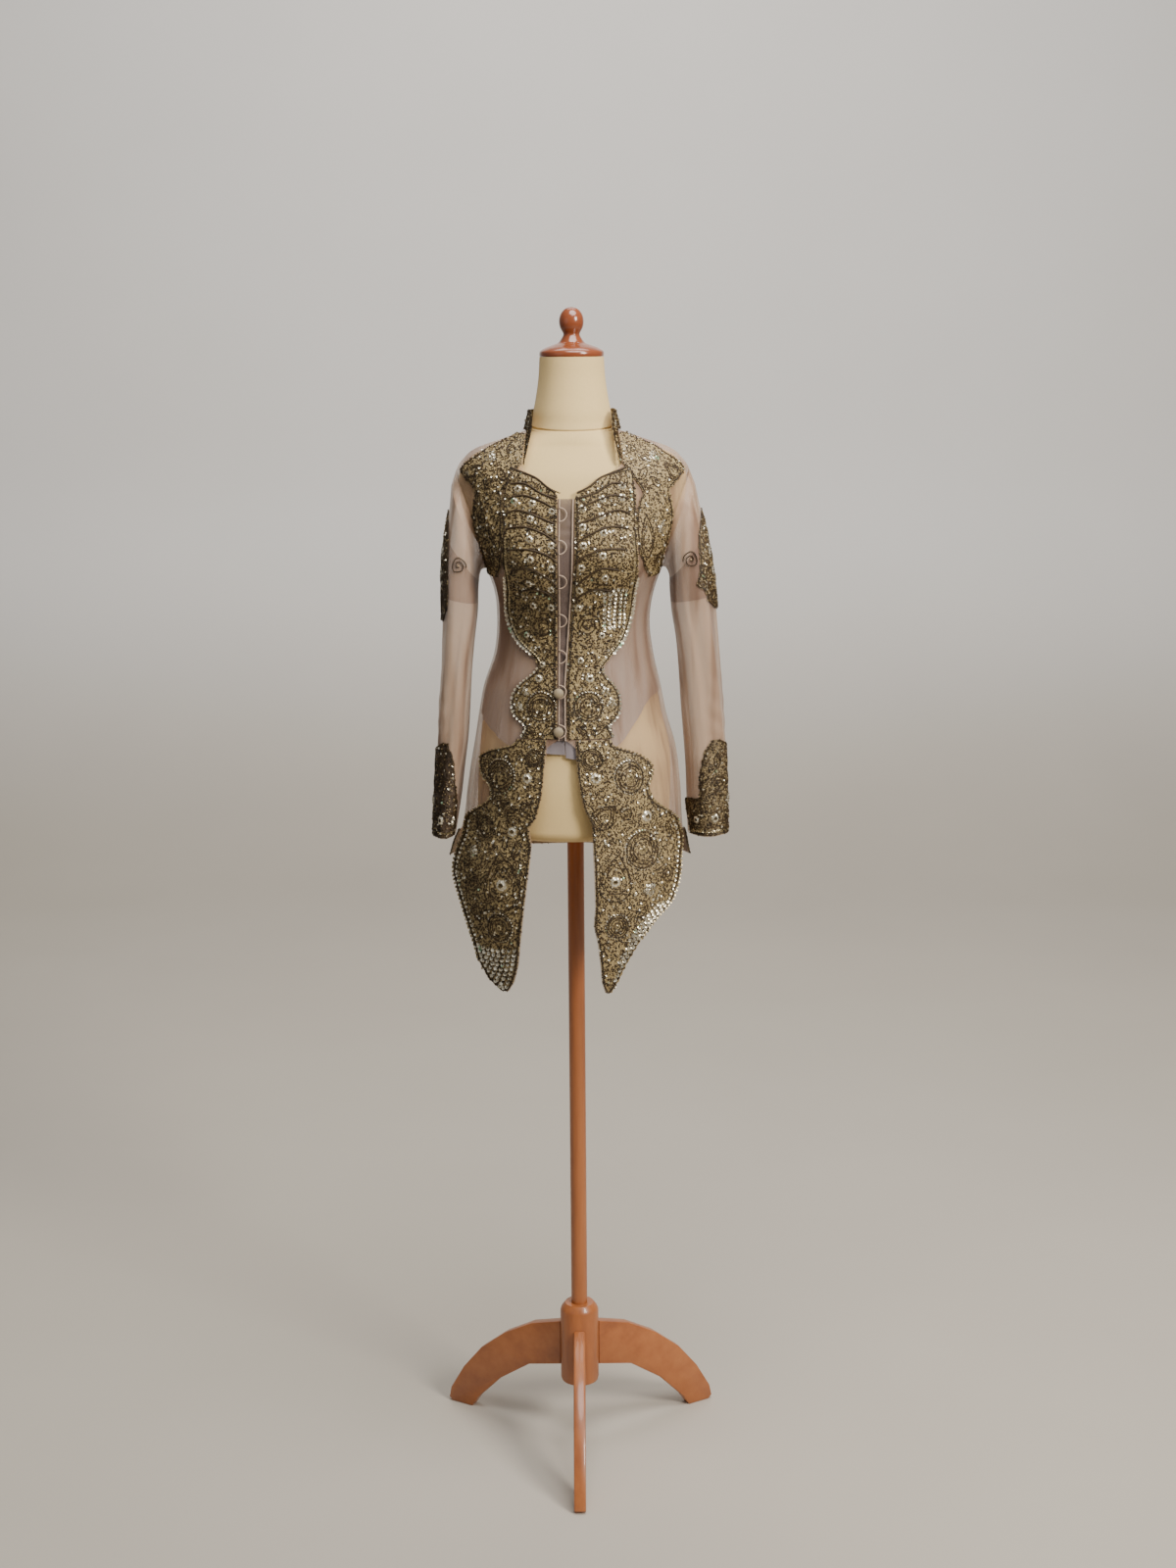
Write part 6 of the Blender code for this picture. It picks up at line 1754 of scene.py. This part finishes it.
brown = tulle("brown_net", 0.62, (0.30, 0.18, 0.115), (0.17, 0.095, 0.060))
# The wearer's right gets the plum net and a larger share of dark beads: painted shade of the shaded side.
for side, rings, upper_arm, cuff, name, ground, dark in (
    (-1, RIGHT_SLEEVE, RIGHT_UPPER_ARM, RIGHT_CUFF, "right", PLUM_NET_WITH_PAINTED_SHADE, 0.80),
    (1, LEFT_SLEEVE, LEFT_UPPER_ARM, LEFT_CUFF, "left", OLIVE_NET, 0.70),
):
    lay = on_sleeve(rings, side)
    beads = Beadwork(lay, 80 + side, dark)
    beads.spiral(*turned_at(2.40 if side < 0 else 2.15, 88), 0.0130, 1.9, 0.0, side)
    beads.spiral(*turned_at(3.25, 40 if side < 0 else 60), 0.0120, 1.9, 2.0, -side)
    beads.leaf(*turned_at(4.05, 45), 0.0130, 0.0055, 1.8)
    beads.leaf(*turned_at(4.45, 12), 0.0150, 0.0060, 1.4)
    beads.cluster(*turned_at(2.65, 22), 0.0095)
    beads.flower(*turned_at(3.40, 18), 0.0090, 7)
    beads.leaf(*turned_at(3.10, -20), 0.0130, 0.0055, 1.6)
    beads.rope(sleeve_edge(upper_arm, "back", 2), 0.0040, 0.9)
    beads.rope(sleeve_edge(upper_arm, "front", -2), 0.0040, 0.9)
    for ring in (1.60, 2.05, 2.95, 3.70):
        beads.cluster(*turned_at(ring, 2.0), 0.0062, DULL)
    turns, positions = sleeve_rows(upper_arm, side, 90, 30)
    upper_node = f"lace_sleeve_{name}"
    lace(f"sleeve_lace_{name}", upper_node, turns, positions, beads, ground)
    turns, positions = np.meshgrid(np.radians(np.linspace(50, 176, 40))[::side], np.linspace(2.0, 4.25, 26))
    points = sleeve_points(rings, side, positions, turns, 0.0001 + 0 * turns)
    patch = skin(f"sleeve_patch_{name}_net", points, brown, cut=sleeve_cut(turns, positions))
    stand_for(patch, upper_node)
    beads = Beadwork(lay, 90 + side, dark)
    beads.medallion(*turned_at(12.10, 20), 0.0165, DULL)
    beads.spiral(*turned_at(10.60, 60), 0.0130, 1.9, 0.0, side)
    beads.leaf(*turned_at(9.75, 66), 0.0110, 0.0050, 1.6)
    beads.flower(*turned_at(12.00, 75), 0.0095, 7)
    beads.flower(*turned_at(12.20, -45), 0.0100, 7)
    beads.cluster(*turned_at(11.20, 30), 0.0075)
    beads.flower(*turned_at(12.10, 122), 0.0080, 7)
    beads.leaf(*turned_at(11.30, -40), 0.0120, 0.0050, 1.2)
    beads.rope(sleeve_edge(cuff, "back", 3), 0.0040, 0.9)
    beads.rope(sleeve_edge(cuff, "front", -3), 0.0040, 0.9)
    beads.rope((np.radians(np.linspace(-76, 142, 24)), np.full(24, 12.86)), 0.0042, 0.9)
    beads.scallops((np.radians(np.linspace(-74, 138, 24)), np.full(24, 12.68)), 0.0021, 1, DULL)
    turns, positions = sleeve_rows(cuff, side, 90, 36)
    cuff_node = f"lace_cuff_{name}"
    lace(f"cuff_lace_{name}", cuff_node, turns, positions, beads, ground)


# The collar: a narrow standing band of the same bead lace, stiffened, that runs from the front
# corners up the neck and round the back, and is open over the throat.
CollarPost = namedtuple("CollarPost", "foot_x foot_y foot_z top_x top_y top_z")
COLLAR = (
    CollarPost(0.0680, -0.0790, 1.5290, 0.0672, -0.0815, 1.5360),
    CollarPost(0.0672, -0.0690, 1.5465, 0.0615, -0.0735, 1.5580),
    CollarPost(0.0655, -0.0540, 1.5630, 0.0565, -0.0585, 1.5820),
    CollarPost(0.0640, -0.0330, 1.5745, 0.0575, -0.0360, 1.6020),
    CollarPost(0.0670, -0.0140, 1.5762, 0.0607, -0.0140, 1.6035),
    CollarPost(0.0685, 0.0080, 1.5762, 0.0620, 0.0080, 1.6040),
    CollarPost(0.0600, 0.0350, 1.5762, 0.0550, 0.0330, 1.6045),
    CollarPost(0.0340, 0.0612, 1.5762, 0.0315, 0.0570, 1.6050),
    CollarPost(0.0000, 0.0700, 1.5762, 0.0000, 0.0655, 1.6050),
)
POSTS = np.array([*COLLAR, *[(-p[0], p[1], p[2], -p[3], p[4], p[5]) for p in COLLAR[-2::-1]]])


def on_collar(along, up, out):
    """lay() for the collar: posts from the left front corner round to the right, share up."""
    along, up = np.broadcast_arrays(np.asarray(along, float), np.asarray(up, float))
    post = read_line(POSTS, np.clip(along, 0.02, 15.98))
    after = read_line(POSTS, np.clip(along + 0.05, 0.12, 15.98))
    wide = after - read_line(POSTS, np.clip(along - 0.05, 0.02, 15.88))
    rise = post[..., 3:] - post[..., :3]
    away = unit(np.cross(wide[..., :3], rise))
    return post[..., :3] + rise * up[..., None] + away * (np.asarray(out, float) + 0 * along)[..., None]


beads = Beadwork(on_collar, 11)
line = np.linspace(0.15, 15.85, 60)
beads.rope((line, 0 * line + 0.08), 0.0034, 0.9)
beads.rope((line, 0 * line + 0.93), 0.0034, 0.9)
beads.scallops((line, 0 * line + 0.80), 0.0017, 1, DULL)
for number, place in enumerate(np.linspace(2.2, 13.8, 15)):
    if number % 2:
        beads.flower(float(place), 0.45, 0.0060, 6)
    else:
        beads.spiral(float(place), 0.45, 0.0068, 1.5, place, 1 if place < 8 else -1)
along, up = np.meshgrid(np.linspace(0.02, 15.98, 220), np.linspace(0.0, 1.0, 12))
lace("collar_lace", "collar", along, up, beads)
